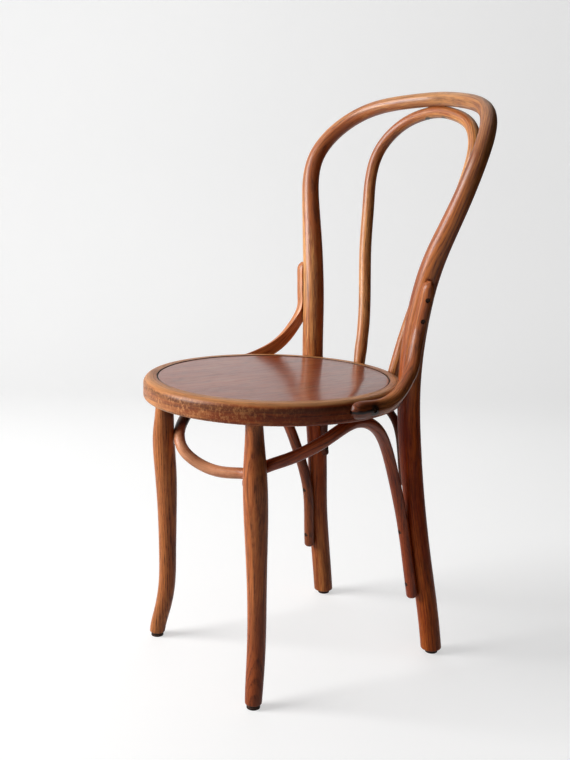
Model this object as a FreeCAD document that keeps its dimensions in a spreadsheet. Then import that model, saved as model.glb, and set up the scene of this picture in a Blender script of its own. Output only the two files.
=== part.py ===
import FreeCAD, Part
import math
import os

import Sketcher
from FreeCAD import Matrix, Placement, Rotation, Vector

# Bentwood bistro chair, in millimetres, +Z up. Its front faces -Y, and right means +X.
# Everything is drawn about the floor point under the middle of the seat. Each finished sub-part is then
# moved along Y, so that the origin is the middle of the chair's bounding box at floor level.

doc = FreeCAD.newDocument("bistro_chair")
sheet = doc.addObject("Spreadsheet::Sheet", "sizes")
size_count = 0


def size(alias, value):
    """Put one driving size in the sheet and return it for the shapes made in code."""
    global size_count
    size_count += 1
    cell = "A%d" % size_count
    sheet.set(cell, str(value))
    sheet.setAlias(cell, alias)
    return float(value)


# Seat ring and panel. Heights are above the floor.
seat_height = size("seat_height", 463)
ring_diameter = size("ring_diameter", 406)
ring_thickness = size("ring_thickness", 33)
ring_width = size("ring_width", 40)
ring_top_round = size("ring_top_round", 11)
ring_bottom_round = size("ring_bottom_round", 5)
ring_inner_round = size("ring_inner_round", 2)
panel_diameter = size("panel_diameter", 361)
panel_thickness = size("panel_thickness", 6)
panel_drop = size("panel_drop", 0.8)
panel_gap = size("panel_gap", 1.2)
panel_edge_round = size("panel_edge_round", 0.6)

# Joint of each post with the ring: a flat on the post stands in a shallow notch in the ring's side.
post_angle = size("post_angle", 53.4)
post_flat = size("post_flat", 4)
ring_post_notch = size("ring_post_notch", 4)
post_notch_room = size("post_notch_room", 1.2)

# Back hoop: how far each place on its right half stands out from that joint, and back from it.
foot_out = size("foot_out", 21.5)
foot_back = size("foot_back", 58)
shin_height = size("shin_height", 90)
shin_out = size("shin_out", 17.9)
shin_back = size("shin_back", 44.4)
calf_height = size("calf_height", 180)
calf_out = size("calf_out", 11)
calf_back = size("calf_back", 29.6)
knee_height = size("knee_height", 270)
knee_out = size("knee_out", 2.6)
knee_back = size("knee_back", 19)
thigh_height = size("thigh_height", 360)
thigh_out = size("thigh_out", -1)
thigh_back = size("thigh_back", 7.8)
waist_rise = size("waist_rise", 97)
waist_out = size("waist_out", 8)
waist_back = size("waist_back", 3.5)
chest_rise = size("chest_rise", 187)
chest_out = size("chest_out", 27.8)
chest_back = size("chest_back", 12.5)
shoulder_rise = size("shoulder_rise", 257)
shoulder_out = size("shoulder_out", 54)
shoulder_back = size("shoulder_back", 25.4)

# Arch of the back hoop: half widths of the chair, and distances below and in front of the crown.
crown_rise = size("crown_rise", 437)
crown_back = size("crown_back", 145)
wide_half = size("wide_half", 200)
wide_drop = size("wide_drop", 97)
wide_front = size("wide_front", 96)
bend_half = size("bend_half", 155)
bend_drop = size("bend_drop", 25)
bend_front = size("bend_front", 39.5)
brow_half = size("brow_half", 73)
brow_drop = size("brow_drop", 4.5)
brow_front = size("brow_front", 13.6)

# Thickness of the back hoop's rod, which is turned thickest at the seat.
foot_diameter = size("foot_diameter", 34)
post_diameter = size("post_diameter", 36)
chest_diameter = size("chest_diameter", 34.4)
shoulder_diameter = size("shoulder_diameter", 30.4)
wide_diameter = size("wide_diameter", 27.4)
bend_diameter = size("bend_diameter", 25)
crown_diameter = size("crown_diameter", 23.5)
foot_round = size("foot_round", 3)

# Inner hoop: its feet stand on a flat behind the ring, its crown under the back hoop's crown.
inner_diameter = size("inner_diameter", 20.6)
inner_crown_diameter = size("inner_crown_diameter", 20)
inner_foot_half = size("inner_foot_half", 44.6)
inner_foot_flat = size("inner_foot_flat", 0.5)
ring_inner_notch = size("ring_inner_notch", 0.5)
inner_foot_tail = size("inner_foot_tail", 5)
inner_tail_out = size("inner_tail_out", -2.9)
inner_tail_back = size("inner_tail_back", -3.4)
inner_foot_round = size("inner_foot_round", 2)
inner_low_rise = size("inner_low_rise", 57)
inner_low_out = size("inner_low_out", 9.6)
inner_low_back = size("inner_low_back", 14.9)
inner_mid_rise = size("inner_mid_rise", 127)
inner_mid_out = size("inner_mid_out", 25.9)
inner_mid_back = size("inner_mid_back", 27.8)
inner_high_rise = size("inner_high_rise", 197)
inner_high_out = size("inner_high_out", 44.4)
inner_high_back = size("inner_high_back", 41.2)
inner_neck_rise = size("inner_neck_rise", 257)
inner_neck_out = size("inner_neck_out", 61.9)
inner_neck_back = size("inner_neck_back", 58.2)
inner_wide_half = size("inner_wide_half", 116.3)
inner_wide_drop = size("inner_wide_drop", 113.5)
inner_wide_front = size("inner_wide_front", 44.4)
inner_bend_half = size("inner_bend_half", 114.6)
inner_bend_drop = size("inner_bend_drop", 62.7)
inner_bend_front = size("inner_bend_front", 27.4)
inner_brow_half = size("inner_brow_half", 83)
inner_brow_drop = size("inner_brow_drop", 21.7)
inner_brow_front = size("inner_brow_front", 8)
inner_cap_half = size("inner_cap_half", 41.8)
inner_cap_drop = size("inner_cap_drop", 5.4)
inner_cap_front = size("inner_cap_front", 2.2)
crown_flat = size("crown_flat", 0.4)
crown_flat_half = size("crown_flat_half", 32)
crown_lean = size("crown_lean", 14)

# Front legs: how far each place lies inwards of its socket in the ring, and to the side of it.
leg_socket_inset = size("leg_socket_inset", 18)
leg_socket_angle = size("leg_socket_angle", 42.7)
leg_tenon_diameter = size("leg_tenon_diameter", 18)
leg_tenon_length = size("leg_tenon_length", 20)
tenon_end_gap = size("tenon_end_gap", 1)
tenon_fit = size("tenon_fit", 0.1)
leg_foot_in = size("leg_foot_in", -8.4)
leg_foot_side = size("leg_foot_side", 8.4)
leg_foot_diameter = size("leg_foot_diameter", 25.4)
leg_ankle_height = size("leg_ankle_height", 45)
leg_ankle_in = size("leg_ankle_in", -0.4)
leg_ankle_side = size("leg_ankle_side", 8.5)
leg_ankle_diameter = size("leg_ankle_diameter", 27.4)
leg_shin_height = size("leg_shin_height", 90)
leg_shin_in = size("leg_shin_in", 7.6)
leg_shin_side = size("leg_shin_side", 8.6)
leg_shin_diameter = size("leg_shin_diameter", 28)
leg_calf_height = size("leg_calf_height", 150)
leg_calf_in = size("leg_calf_in", 9.3)
leg_calf_side = size("leg_calf_side", 8)
leg_calf_diameter = size("leg_calf_diameter", 28.6)
leg_knee_height = size("leg_knee_height", 220)
leg_knee_in = size("leg_knee_in", 9)
leg_knee_side = size("leg_knee_side", 6.2)
leg_knee_diameter = size("leg_knee_diameter", 31.4)
leg_swell_height = size("leg_swell_height", 300)
leg_swell_in = size("leg_swell_in", 6.1)
leg_swell_side = size("leg_swell_side", 3.9)
leg_swell_diameter = size("leg_swell_diameter", 36)
leg_joint_height = size("leg_joint_height", 356)
leg_joint_in = size("leg_joint_in", 3.6)
leg_joint_side = size("leg_joint_side", 2.1)
leg_joint_diameter = size("leg_joint_diameter", 34.6)
leg_top_diameter = size("leg_top_diameter", 25.6)
leg_foot_round = size("leg_foot_round", 2.5)

# Leg brace: one rod from rear leg to rear leg, round by the front. Each place has its distance inwards of the ring's rim, its
# angle round the seat from +X, and its height above the floor or its drop below the ring.
brace_diameter = size("brace_diameter", 18.4)
brace_flat = size("brace_flat", 0.5)
brace_seat_depth = size("brace_seat_depth", 0.5)
brace_middle_inset = size("brace_middle_inset", 158)
brace_middle_height = size("brace_middle_height", 308.5)
brace_bay_inset = size("brace_bay_inset", 135.9)
brace_bay_angle = size("brace_bay_angle", -63.4)
brace_bay_height = size("brace_bay_height", 305.8)
brace_quarter_inset = size("brace_quarter_inset", 91.7)
brace_quarter_angle = size("brace_quarter_angle", -51)
brace_quarter_height = size("brace_quarter_height", 312)
brace_corner_inset = size("brace_corner_inset", 56.5)
brace_corner_angle = size("brace_corner_angle", -46.9)
brace_corner_height = size("brace_corner_height", 338)
brace_leg_turn = size("brace_leg_turn", 124.6)
brace_climb_inset = size("brace_climb_inset", 39)
brace_climb_angle = size("brace_climb_angle", -28.5)
brace_climb_height = size("brace_climb_height", 371)
brace_rise_inset = size("brace_rise_inset", 25.3)
brace_rise_angle = size("brace_rise_angle", -9)
brace_rise_drop = size("brace_rise_drop", 28)
brace_top_inset = size("brace_top_inset", 27.5)
brace_top_angle = size("brace_top_angle", 8)
brace_turn_inset = size("brace_turn_inset", 26)
brace_turn_angle = size("brace_turn_angle", 25.5)
brace_turn_drop = size("brace_turn_drop", 24.5)
brace_fall_inset = size("brace_fall_inset", 19.6)
brace_fall_angle = size("brace_fall_angle", 39.1)
brace_fall_height = size("brace_fall_height", 364)
brace_drop_inset = size("brace_drop_inset", 6.7)
brace_drop_angle = size("brace_drop_angle", 46.9)
brace_drop_height = size("brace_drop_height", 303.7)
brace_rear_turn = size("brace_rear_turn", -98)
brace_high_screw = size("brace_high_screw", 220)
brace_low_screw = size("brace_low_screw", 131)
brace_tip_height = size("brace_tip_height", 106)
brace_tip_round = size("brace_tip_round", 6)

# Rear bow: an arch between the rear legs. Its free places have their half width and their drop below the
# ring's underside, which its crown touches.
bow_diameter = size("bow_diameter", 13)
bow_flat = size("bow_flat", 0.5)
bow_seat_depth = size("bow_seat_depth", 0.5)
bow_tip_height = size("bow_tip_height", 284)
bow_tip_round = size("bow_tip_round", 5)
bow_low_screw = size("bow_low_screw", 299)
bow_high_screw = size("bow_high_screw", 325)
bow_inset = size("bow_inset", 21)
bow_spring_half = size("bow_spring_half", 99.5)
bow_spring_drop = size("bow_spring_drop", 74)
bow_haunch_half = size("bow_haunch_half", 85)
bow_haunch_drop = size("bow_haunch_drop", 43)
bow_shoulder_half = size("bow_shoulder_half", 42)
bow_shoulder_drop = size("bow_shoulder_drop", 18.5)

# Hip braces: half-round rods, flat inside, from the post's side to the ring's side. The free places are
# given from the post's joint: out, to the front and above the seat, with the way their backs turn.
hip_width = size("hip_width", 22)
hip_thickness = size("hip_thickness", 14.5)
hip_tongue_width = size("hip_tongue_width", 26)
hip_tongue_thickness = size("hip_tongue_thickness", 12.5)
hip_tip_length = size("hip_tip_length", 14)
hip_post_turn = size("hip_post_turn", -26)
hip_post_flat = size("hip_post_flat", 1.2)
hip_high_screw_rise = size("hip_high_screw_rise", 133)
hip_low_screw_rise = size("hip_low_screw_rise", 100)
hip_above_screw = size("hip_above_screw", 28)
hip_below_screw = size("hip_below_screw", 12)
hip_elbow_out = size("hip_elbow_out", 34)
hip_elbow_front = size("hip_elbow_front", 20)
hip_elbow_rise = size("hip_elbow_rise", 50)
hip_elbow_turn = size("hip_elbow_turn", -12)
hip_bow_out = size("hip_bow_out", 44)
hip_bow_front = size("hip_bow_front", 33)
hip_bow_rise = size("hip_bow_rise", 27)
hip_bow_turn = size("hip_bow_turn", -4)
hip_sweep_out = size("hip_sweep_out", 53)
hip_sweep_front = size("hip_sweep_front", 53)
hip_sweep_rise = size("hip_sweep_rise", 8)
hip_sweep_turn = size("hip_sweep_turn", 4)
hip_dip_out = size("hip_dip_out", 63.5)
hip_dip_front = size("hip_dip_front", 75.5)
hip_dip_rise = size("hip_dip_rise", -5.5)
hip_dip_turn = size("hip_dip_turn", 12)
hip_landing_angle = size("hip_landing_angle", 18.5)
hip_tongue_drop = size("hip_tongue_drop", 16.3)
hip_tongue_screw_angle = size("hip_tongue_screw_angle", 8.5)
hip_tongue_tip_angle = size("hip_tongue_tip_angle", -2)

# Screws, washers, foot glides and their nails.
screw_shank = size("screw_shank", 4)
screw_head = size("screw_head", 7.6)
screw_head_height = size("screw_head_height", 2.4)
screw_head_round = size("screw_head_round", 1)
screw_point = size("screw_point", 1.6)
screw_slot = size("screw_slot", 1.1)
screw_slot_depth = size("screw_slot_depth", 1.2)
screw_sink = size("screw_sink", 1.4)
screw_head_room = size("screw_head_room", 0.3)
screw_fit = size("screw_fit", 0.1)
hole_end_gap = size("hole_end_gap", 1)
long_screw = size("long_screw", 34)
short_screw = size("short_screw", 26)
leg_screw_rise = size("leg_screw_rise", 10)
crown_screw_half = size("crown_screw_half", 20)
post_screw_shank = size("post_screw_shank", 6)
post_screw_head = size("post_screw_head", 12)
post_screw_head_height = size("post_screw_head_height", 4)
post_screw_length = size("post_screw_length", 56)
washer_diameter = size("washer_diameter", 17)
washer_thickness = size("washer_thickness", 1.5)
washer_seat_depth = size("washer_seat_depth", 1)
glide_diameter = size("glide_diameter", 20.5)
glide_height = size("glide_height", 6.5)
glide_edge_round = size("glide_edge_round", 1)
nail_shank = size("nail_shank", 2.4)
nail_head = size("nail_head", 7)
nail_head_height = size("nail_head_height", 1.2)
nail_length = size("nail_length", 20)
nail_point = size("nail_point", 1)
nail_sink = size("nail_sink", 1)

doc.recompute()

# Places that several sub-parts share, as expressions of the sheet.
RING_RADIUS = "(sizes.ring_diameter / 2)"
RING_BOTTOM = "(sizes.seat_height - sizes.ring_thickness)"
RING_INSIDE = "(sizes.ring_diameter / 2 - sizes.ring_width)"
REBATE_RADIUS = "(sizes.panel_diameter / 2 + sizes.panel_gap)"
PANEL_TOP = "(sizes.seat_height - sizes.panel_drop)"
LEDGE = "(sizes.seat_height - sizes.panel_drop - sizes.panel_thickness)"
POST_REACH = "(%s - sizes.ring_post_notch + sizes.post_diameter / 2 - sizes.post_flat)" % RING_RADIUS
JOINT_HALF = "(%s * cos(sizes.post_angle))" % POST_REACH
JOINT_BACK = "(%s * sin(sizes.post_angle))" % POST_REACH
CROWN_BACK = "(%s + sizes.crown_back)" % JOINT_BACK
CROWN_GAP = "((sizes.crown_diameter + sizes.inner_crown_diameter) / 2 - 2 * sizes.crown_flat)"
INNER_CROWN_BACK = "(%s + %s * sin(sizes.crown_lean))" % (CROWN_BACK, CROWN_GAP)
CHAIR_BACK = "max(%s + sizes.crown_diameter / 2; %s + sizes.inner_crown_diameter / 2)" % (
    CROWN_BACK, INNER_CROWN_BACK)
SEAT_Y = "((%s - %s) / 2)" % (RING_RADIUS, CHAIR_BACK)
SOCKET_RADIUS = "(%s - sizes.leg_socket_inset)" % RING_RADIUS


def number(expression):
    """Value of an expression of the sheet."""
    return float(sheet.evalExpression(expression))


ring_radius = ring_diameter / 2
ring_bottom = seat_height - ring_thickness
ring_middle = seat_height - ring_thickness / 2
ring_inside = ring_radius - ring_width
joint_half = number(JOINT_HALF)
joint_back = number(JOINT_BACK)
crown_y = number(CROWN_BACK)
crown_height = seat_height + crown_rise
UP = Vector(0, 0, 1)
sub_parts = []


def finish(item, label, x=None, y=None):
    """Label a finished sub-part and put it at its place in the chair."""
    item.Label = label
    if x:
        item.setExpression("Placement.Base.x", x)
    item.setExpression("Placement.Base.y", "%s + %s" % (SEAT_Y, y) if y else SEAT_Y)
    sub_parts.append(item)
    return item


def shape_feature(label, shape):
    """Sub-part whose shape is made in code."""
    feature = doc.addObject("Part::Feature", label)
    feature.Shape = shape
    return finish(feature, label)


def polar(radius, angle, height=0):
    """Point at a radius and an angle, in degrees from +X, about the middle of the seat."""
    turn = math.radians(angle)
    return Vector(radius * math.cos(turn), radius * math.sin(turn), height)


def other_side(point):
    """The same point on the left of the chair."""
    return Vector(-point.x, point.y, point.z)


def mirrored(shape):
    """The same shape on the left of the chair."""
    return shape.mirror(Vector(0, 0, 0), Vector(1, 0, 0))


def square_to(direction, reference):
    """Unit part of a reference vector that is square to a direction."""
    return (reference - direction * reference.dot(direction)).normalize()


def block(face_point, outward, along, back, forward, half_width, depth):
    """Box that planes a flat: its base lies on the flat and it stands outward from it."""
    across = outward.cross(along)
    corner = face_point - along * back - across * half_width
    box = Part.makeBox(back + forward, 2 * half_width, depth)
    box.Placement = Placement(Matrix(along.x, across.x, outward.x, corner.x,
                                     along.y, across.y, outward.y, corner.y,
                                     along.z, across.z, outward.z, corner.z,
                                     0, 0, 0, 1))
    return box


# Centre lines of bent rods, and sections that follow them.


class CentreLine:
    """Smooth curve through a rod's places, with the sizes that belong to each place."""

    def __init__(self, places):
        points = [place[0] for place in places]
        self.curve = Part.BSplineCurve()
        self.curve.interpolate(points)
        self.edge = self.curve.toShape()
        self.length = self.edge.Length
        start = self.curve.FirstParameter
        self.stops = [self.curve.length(start, self.curve.parameter(point)) for point in points]
        self.stops[0] = 0.0
        self.sizes = [place[1:] for place in places]

    def at(self, distance):
        """Point and direction at a distance from the start."""
        u = self.edge.getParameterByLength(distance)
        return self.curve.value(u), self.curve.tangent(u)[0]

    def size_at(self, distance):
        """Sizes at a distance from the start, blended between two places."""
        k = 0
        while k < len(self.stops) - 2 and distance > self.stops[k + 1]:
            k += 1
        share = (distance - self.stops[k]) / (self.stops[k + 1] - self.stops[k])
        share = min(max(share, 0.0), 1.0)
        return [a + (b - a) * share for a, b in zip(self.sizes[k], self.sizes[k + 1])]

    def at_height(self, height):
        """Point and radius where the first half of the line reaches a height."""
        low = 0.0
        high = self.length / 2
        while high - low > 0.001:
            middle = (low + high) / 2
            if self.at(middle)[0].z < height:
                low = middle
            else:
                high = middle
        return self.at(low)[0], self.size_at(low)[0] / 2


def steps(length, spacing):
    """Distances along a rod, evenly spaced from end to end."""
    count = int(math.ceil(length / spacing))
    return [length * k / count for k in range(count + 1)]


def round_section(centre, direction, side, radius):
    """Circle of four arcs, square to the rod."""
    other = direction.cross(side)

    def spot(degrees):
        turn = math.radians(degrees)
        return centre + side * (radius * math.cos(turn)) + other * (radius * math.sin(turn))

    return Part.Wire([Part.Arc(spot(a), spot(a + 45), spot(a + 90)).toShape() for a in (0, 90, 180, 270)])


def round_rod(line, spacing):
    """Rod of round section along a centre line. One that strays from the line is made again, coarser."""
    slices = steps(line.length, 5)
    volume = sum(math.pi * line.size_at(distance)[0] ** 2 / 4 for distance in slices) * line.length / len(slices)
    while spacing < 60:
        side = Vector(0, 1, 0)
        sections = []
        for distance in steps(line.length, spacing):
            centre, direction = line.at(distance)
            side = square_to(direction, side)
            sections.append(round_section(centre, direction, side, line.size_at(distance)[0] / 2))
        rod = Part.makeLoft(sections, True, False)
        if rod.isValid() and abs(rod.Volume / volume - 1) < 0.01:
            return rod
        spacing *= 1.06
    raise RuntimeError("no rod follows its centre line")


def both_sides(half):
    """Places of a whole rod from those of its right half, which ends in the chair's middle."""
    left = [(other_side(place[0]),) + tuple(place[1:]) for place in half[:-1]]
    return half + left[::-1]


# Back hoop and rear legs: one rod from foot to foot.


def post_place(out, back, height, diameter):
    """Place on the right post, given from its joint with the ring."""
    return Vector(joint_half + out, joint_back + back, height), diameter


def arch_place(half, front, drop, diameter):
    """Place on the right of the arch, given from its crown."""
    return Vector(half, crown_y - front, crown_height - drop), diameter


hoop_line = CentreLine(both_sides([
    post_place(foot_out, foot_back, 0, foot_diameter),
    post_place(shin_out, shin_back, shin_height, foot_diameter),
    post_place(calf_out, calf_back, calf_height, foot_diameter),
    post_place(knee_out, knee_back, knee_height, foot_diameter),
    post_place(thigh_out, thigh_back, thigh_height, post_diameter),
    post_place(0, 0, ring_middle, post_diameter),
    post_place(waist_out, waist_back, seat_height + waist_rise, post_diameter),
    post_place(chest_out, chest_back, seat_height + chest_rise, chest_diameter),
    post_place(shoulder_out, shoulder_back, seat_height + shoulder_rise, shoulder_diameter),
    arch_place(wide_half, wide_front, wide_drop, wide_diameter),
    arch_place(bend_half, bend_front, bend_drop, bend_diameter),
    arch_place(brow_half, brow_front, brow_drop, crown_diameter),
    arch_place(0, 0, 0, crown_diameter),
]))
back_hoop = round_rod(hoop_line, 36)

# The feet are sawn level on top of the glides, and their rims are rounded.
back_hoop = back_hoop.cut(Part.makeBox(1000, 1000, 200, Vector(-500, -200, glide_height - 200)))
foot_rims = [edge for edge in back_hoop.Edges if edge.BoundBox.ZMax < glide_height + 0.05]
back_hoop = back_hoop.makeFillet(foot_round, foot_rims)

# Inner hoop. Its crown lies against the back hoop's, below it and a little behind it.
inner_reach = ring_radius - ring_inner_notch + inner_diameter / 2 - inner_foot_flat
inner_angle = math.degrees(math.acos(inner_foot_half / inner_reach))
inner_foot_y = math.sqrt(inner_reach ** 2 - inner_foot_half ** 2)
lean = math.radians(crown_lean)
crown_way = Vector(0, math.sin(lean), -math.cos(lean))
inner_crown = Vector(0, crown_y, crown_height) + crown_way * number(CROWN_GAP)


def inner_place(out, back, height, diameter):
    """Place on the inner hoop's right leg, given from its foot."""
    return Vector(inner_foot_half + out, inner_foot_y + back, height), diameter


def inner_arch_place(half, front, drop):
    """Place on the right of the inner hoop's arch, given from its crown."""
    return inner_crown + Vector(half, -front, -drop), inner_crown_diameter


inner_line = CentreLine(both_sides([
    inner_place(inner_tail_out, inner_tail_back, ring_bottom - inner_foot_tail, inner_diameter),
    inner_place(0, 0, ring_middle, inner_diameter),
    inner_place(inner_low_out, inner_low_back, seat_height + inner_low_rise, inner_diameter),
    inner_place(inner_mid_out, inner_mid_back, seat_height + inner_mid_rise, inner_diameter),
    inner_place(inner_high_out, inner_high_back, seat_height + inner_high_rise, inner_diameter),
    inner_place(inner_neck_out, inner_neck_back, seat_height + inner_neck_rise, inner_diameter),
    inner_arch_place(inner_wide_half, inner_wide_front, inner_wide_drop),
    inner_arch_place(inner_bend_half, inner_bend_front, inner_bend_drop),
    inner_arch_place(inner_brow_half, inner_brow_front, inner_brow_drop),
    inner_arch_place(inner_cap_half, inner_cap_front, inner_cap_drop),
    inner_arch_place(0, 0, 0),
]))
inner_hoop = round_rod(inner_line, 24)
tail_height = ring_bottom - inner_foot_tail
tail_rims = [edge for edge in inner_hoop.Edges if edge.BoundBox.ZMax < tail_height + 0.8]
inner_hoop = inner_hoop.makeFillet(inner_foot_round, tail_rims)

# Leg brace.


def leg_place(inwards, side):
    """Point of the right front leg's centre line, level, given from its socket."""
    turn = math.radians(leg_socket_angle)
    radius = ring_radius - leg_socket_inset - inwards
    return Vector(radius * math.cos(turn) + side * math.sin(turn),
                  side * math.cos(turn) - radius * math.sin(turn), 0)


def ring_place(inset, angle, height):
    """Place of the leg brace, given from the ring's rim."""
    return polar(ring_radius - inset, angle, height), brace_diameter


brace_radius = brace_diameter / 2
leg_joint = leg_place(leg_joint_in, leg_joint_side) + UP * leg_joint_height
leg_joint_out = polar(1, brace_leg_turn)
leg_joint_flat = leg_joint + leg_joint_out * (leg_joint_diameter / 2 - brace_seat_depth)
brace_at_leg = leg_joint_flat + leg_joint_out * (brace_radius - brace_flat)

low_point, low_radius = hoop_line.at_height(brace_low_screw)
high_point, high_radius = hoop_line.at_height(brace_high_screw)
rear_along = (high_point - low_point).normalize()
rear_out = square_to(rear_along, polar(1, brace_rear_turn))
rear_flat = low_point + rear_out * (min(low_radius, high_radius) - brace_seat_depth)
brace_low = rear_flat + rear_out * (brace_radius - brace_flat)
brace_high = brace_low + (high_point - low_point)
brace_tip = brace_low - rear_along * ((brace_low_screw - brace_tip_height) / rear_along.z)

brace_line = CentreLine(both_sides([
    (brace_tip, brace_diameter),
    (brace_low, brace_diameter),
    (brace_high, brace_diameter),
    ring_place(brace_drop_inset, brace_drop_angle, brace_drop_height),
    ring_place(brace_fall_inset, brace_fall_angle, brace_fall_height),
    ring_place(brace_turn_inset, brace_turn_angle, ring_bottom - brace_turn_drop),
    ring_place(brace_top_inset, brace_top_angle, ring_bottom - brace_radius + brace_flat),
    ring_place(brace_rise_inset, brace_rise_angle, ring_bottom - brace_rise_drop),
    ring_place(brace_climb_inset, brace_climb_angle, brace_climb_height),
    (brace_at_leg, brace_diameter),
    ring_place(brace_corner_inset, brace_corner_angle, brace_corner_height),
    ring_place(brace_quarter_inset, brace_quarter_angle, brace_quarter_height),
    ring_place(brace_bay_inset, brace_bay_angle, brace_bay_height),
    ring_place(brace_middle_inset, -90, brace_middle_height),
]))
leg_brace = round_rod(brace_line, 22)
tips = [edge for edge in leg_brace.Edges if edge.BoundBox.ZMax < brace_tip_height + 3]
leg_brace = leg_brace.makeFillet(brace_tip_round, tips)

# Rear bow.
bow_radius = bow_diameter / 2
low_point, low_radius = hoop_line.at_height(bow_low_screw)
high_point, high_radius = hoop_line.at_height(bow_high_screw)
bow_along = (high_point - low_point).normalize()
bow_out = square_to(bow_along, Vector(-1, 0, 0))
bow_leg_flat = low_point + bow_out * (min(low_radius, high_radius) - bow_seat_depth)
bow_low = bow_leg_flat + bow_out * (bow_radius - bow_flat)
bow_high = bow_low + (high_point - low_point)
bow_tip = bow_low - bow_along * ((bow_low_screw - bow_tip_height) / bow_along.z)
bow_crown = Vector(0, ring_radius - bow_inset, ring_bottom)


def bow_place(half, drop):
    """Free place of the rear bow, given from its crown's top."""
    return bow_crown + Vector(half, 0, -drop), bow_diameter


bow_line = CentreLine(both_sides([
    (bow_tip, bow_diameter),
    (bow_low, bow_diameter),
    (bow_high, bow_diameter),
    bow_place(bow_spring_half, bow_spring_drop),
    bow_place(bow_haunch_half, bow_haunch_drop),
    bow_place(bow_shoulder_half, bow_shoulder_drop),
    bow_place(0, bow_radius - bow_flat),
]))
rear_bow = round_rod(bow_line, 14)
tips = [edge for edge in rear_bow.Edges if edge.BoundBox.ZMax < bow_tip_height + 3]
rear_bow = rear_bow.makeFillet(bow_tip_round, tips)

# Hip brace, right.


def half_round_section(back_point, direction, outward, width, thickness):
    """Section with a flat back, square to outward, and a rounded face."""
    outward = square_to(direction, outward)
    across = direction.cross(outward)
    face = []
    for degrees in (0, 20, 50, 90, 130, 160, 180):
        turn = math.radians(degrees)
        face.append(back_point + across * (width / 2 * math.cos(turn)) + outward * (thickness * math.sin(turn)))
    arch = Part.BSplineCurve()
    arch.interpolate(face)
    return Part.Wire([arch.toShape(), Part.LineSegment(face[-1], face[0]).toShape()])


hip_low_point, hip_low_radius = hoop_line.at_height(seat_height + hip_low_screw_rise)
hip_high_point, hip_high_radius = hoop_line.at_height(seat_height + hip_high_screw_rise)
hip_along = (hip_high_point - hip_low_point).normalize()
hip_out = square_to(hip_along, polar(1, hip_post_turn))
hip_low = hip_low_point + hip_out * (min(hip_low_radius, hip_high_radius) - hip_post_flat)
hip_high = hip_low + (hip_high_point - hip_low_point)


def hip_free(out, front, rise, turn):
    """Free place of the hip brace's back, given from the post's joint."""
    middle = Vector(joint_half + out, joint_back - front, seat_height + rise)
    return middle - polar(hip_thickness / 2, turn), turn, hip_width, hip_thickness


def hip_tongue(angle):
    """Place of the tongue's back, against the ring's side."""
    height = seat_height - hip_tongue_drop
    return polar(ring_radius - 0.5, angle, height), angle, hip_tongue_width, hip_tongue_thickness


hip_line = CentreLine([
    (hip_high + hip_along * hip_above_screw, hip_post_turn, hip_width, hip_thickness),
    (hip_high, hip_post_turn, hip_width, hip_thickness),
    (hip_low, hip_post_turn, hip_width, hip_thickness),
    (hip_low - hip_along * hip_below_screw, hip_post_turn, hip_width, hip_thickness),
    hip_free(hip_elbow_out, hip_elbow_front, hip_elbow_rise, hip_elbow_turn),
    hip_free(hip_bow_out, hip_bow_front, hip_bow_rise, hip_bow_turn),
    hip_free(hip_sweep_out, hip_sweep_front, hip_sweep_rise, hip_sweep_turn),
    hip_free(hip_dip_out, hip_dip_front, hip_dip_rise, hip_dip_turn),
    hip_tongue(hip_landing_angle),
    hip_tongue(hip_tongue_screw_angle),
    hip_tongue(hip_tongue_tip_angle),
])


def hip_rod(line):
    """Half-round rod along a line, both of its ends rounded off like a tongue."""
    inner_stops = steps(line.length - 2 * hip_tip_length, 14)
    ends = [hip_tip_length * share for share in (0, 0.08, 0.3, 0.62)]
    distances = ends + [hip_tip_length + stop for stop in inner_stops] + [line.length - d for d in ends[::-1]]
    sections = []
    for distance in distances:
        back_point, direction = line.at(distance)
        turn, width, thickness = line.size_at(distance)
        from_end = min(distance, line.length - distance, hip_tip_length)
        rest = 1 - from_end / hip_tip_length
        shrink = max(math.sqrt(1 - rest ** 2), 0.3)
        sections.append(half_round_section(back_point, direction, polar(1, turn), width * shrink,
                                           thickness * (0.35 + 0.65 * shrink)))
    return Part.makeLoft(sections, True, False)


hip_brace = hip_rod(hip_line)
ring_cylinder = Part.makeCylinder(ring_radius, 3 * ring_thickness, Vector(0, 0, ring_bottom - ring_thickness))
hip_brace = hip_brace.cut(ring_cylinder)
hip_brace = hip_brace.cut(block(hip_low, -hip_out, hip_along, 40, 100, 30, 30))

# Flats and notches where the rods meet each other and the ring.
along_x = Vector(1, 0, 0)
hoop_cuts = []
brace_cuts = []
inner_cuts = []
ring_cuts = []
leg_cuts = []
bow_cuts = []

post_out = polar(1, post_angle)
post_face = polar(ring_radius - ring_post_notch, post_angle, ring_bottom)
half_post = post_diameter / 2
notch_half = math.sqrt(half_post ** 2 - (half_post - post_flat - ring_post_notch) ** 2) + post_notch_room
hoop_cuts.append(block(post_face, -post_out, UP, 0, ring_thickness, post_diameter, post_diameter))
ring_cuts.append(block(post_face, post_out, UP, 1, ring_thickness + 1, notch_half, 20))

inner_out = polar(1, inner_angle)
inner_face = polar(ring_radius - ring_inner_notch, inner_angle, ring_bottom)
inner_cuts.append(block(inner_face, -inner_out, UP, 20, ring_thickness + 12, inner_diameter, inner_diameter))
ring_cuts.append(block(inner_face, inner_out, UP, 1, ring_thickness + 1, inner_diameter / 2, 20))

hoop_cuts.append(block(rear_flat, rear_out, rear_along, 30, 105, 20, 20))
brace_cuts.append(block(rear_flat, -rear_out, rear_along, 60, 105, 20, 20))
hoop_cuts.append(block(hip_low, hip_out, hip_along, hip_below_screw + 16,
                       (hip_high - hip_low).Length + hip_above_screw + 3, 25, 20))

hoop_cuts.append(block(bow_leg_flat, bow_out, bow_along, 25, 65, 20, 20))
bow_cuts.append(block(bow_leg_flat, -bow_out, bow_along, 40, 70, 20, 20))

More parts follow.
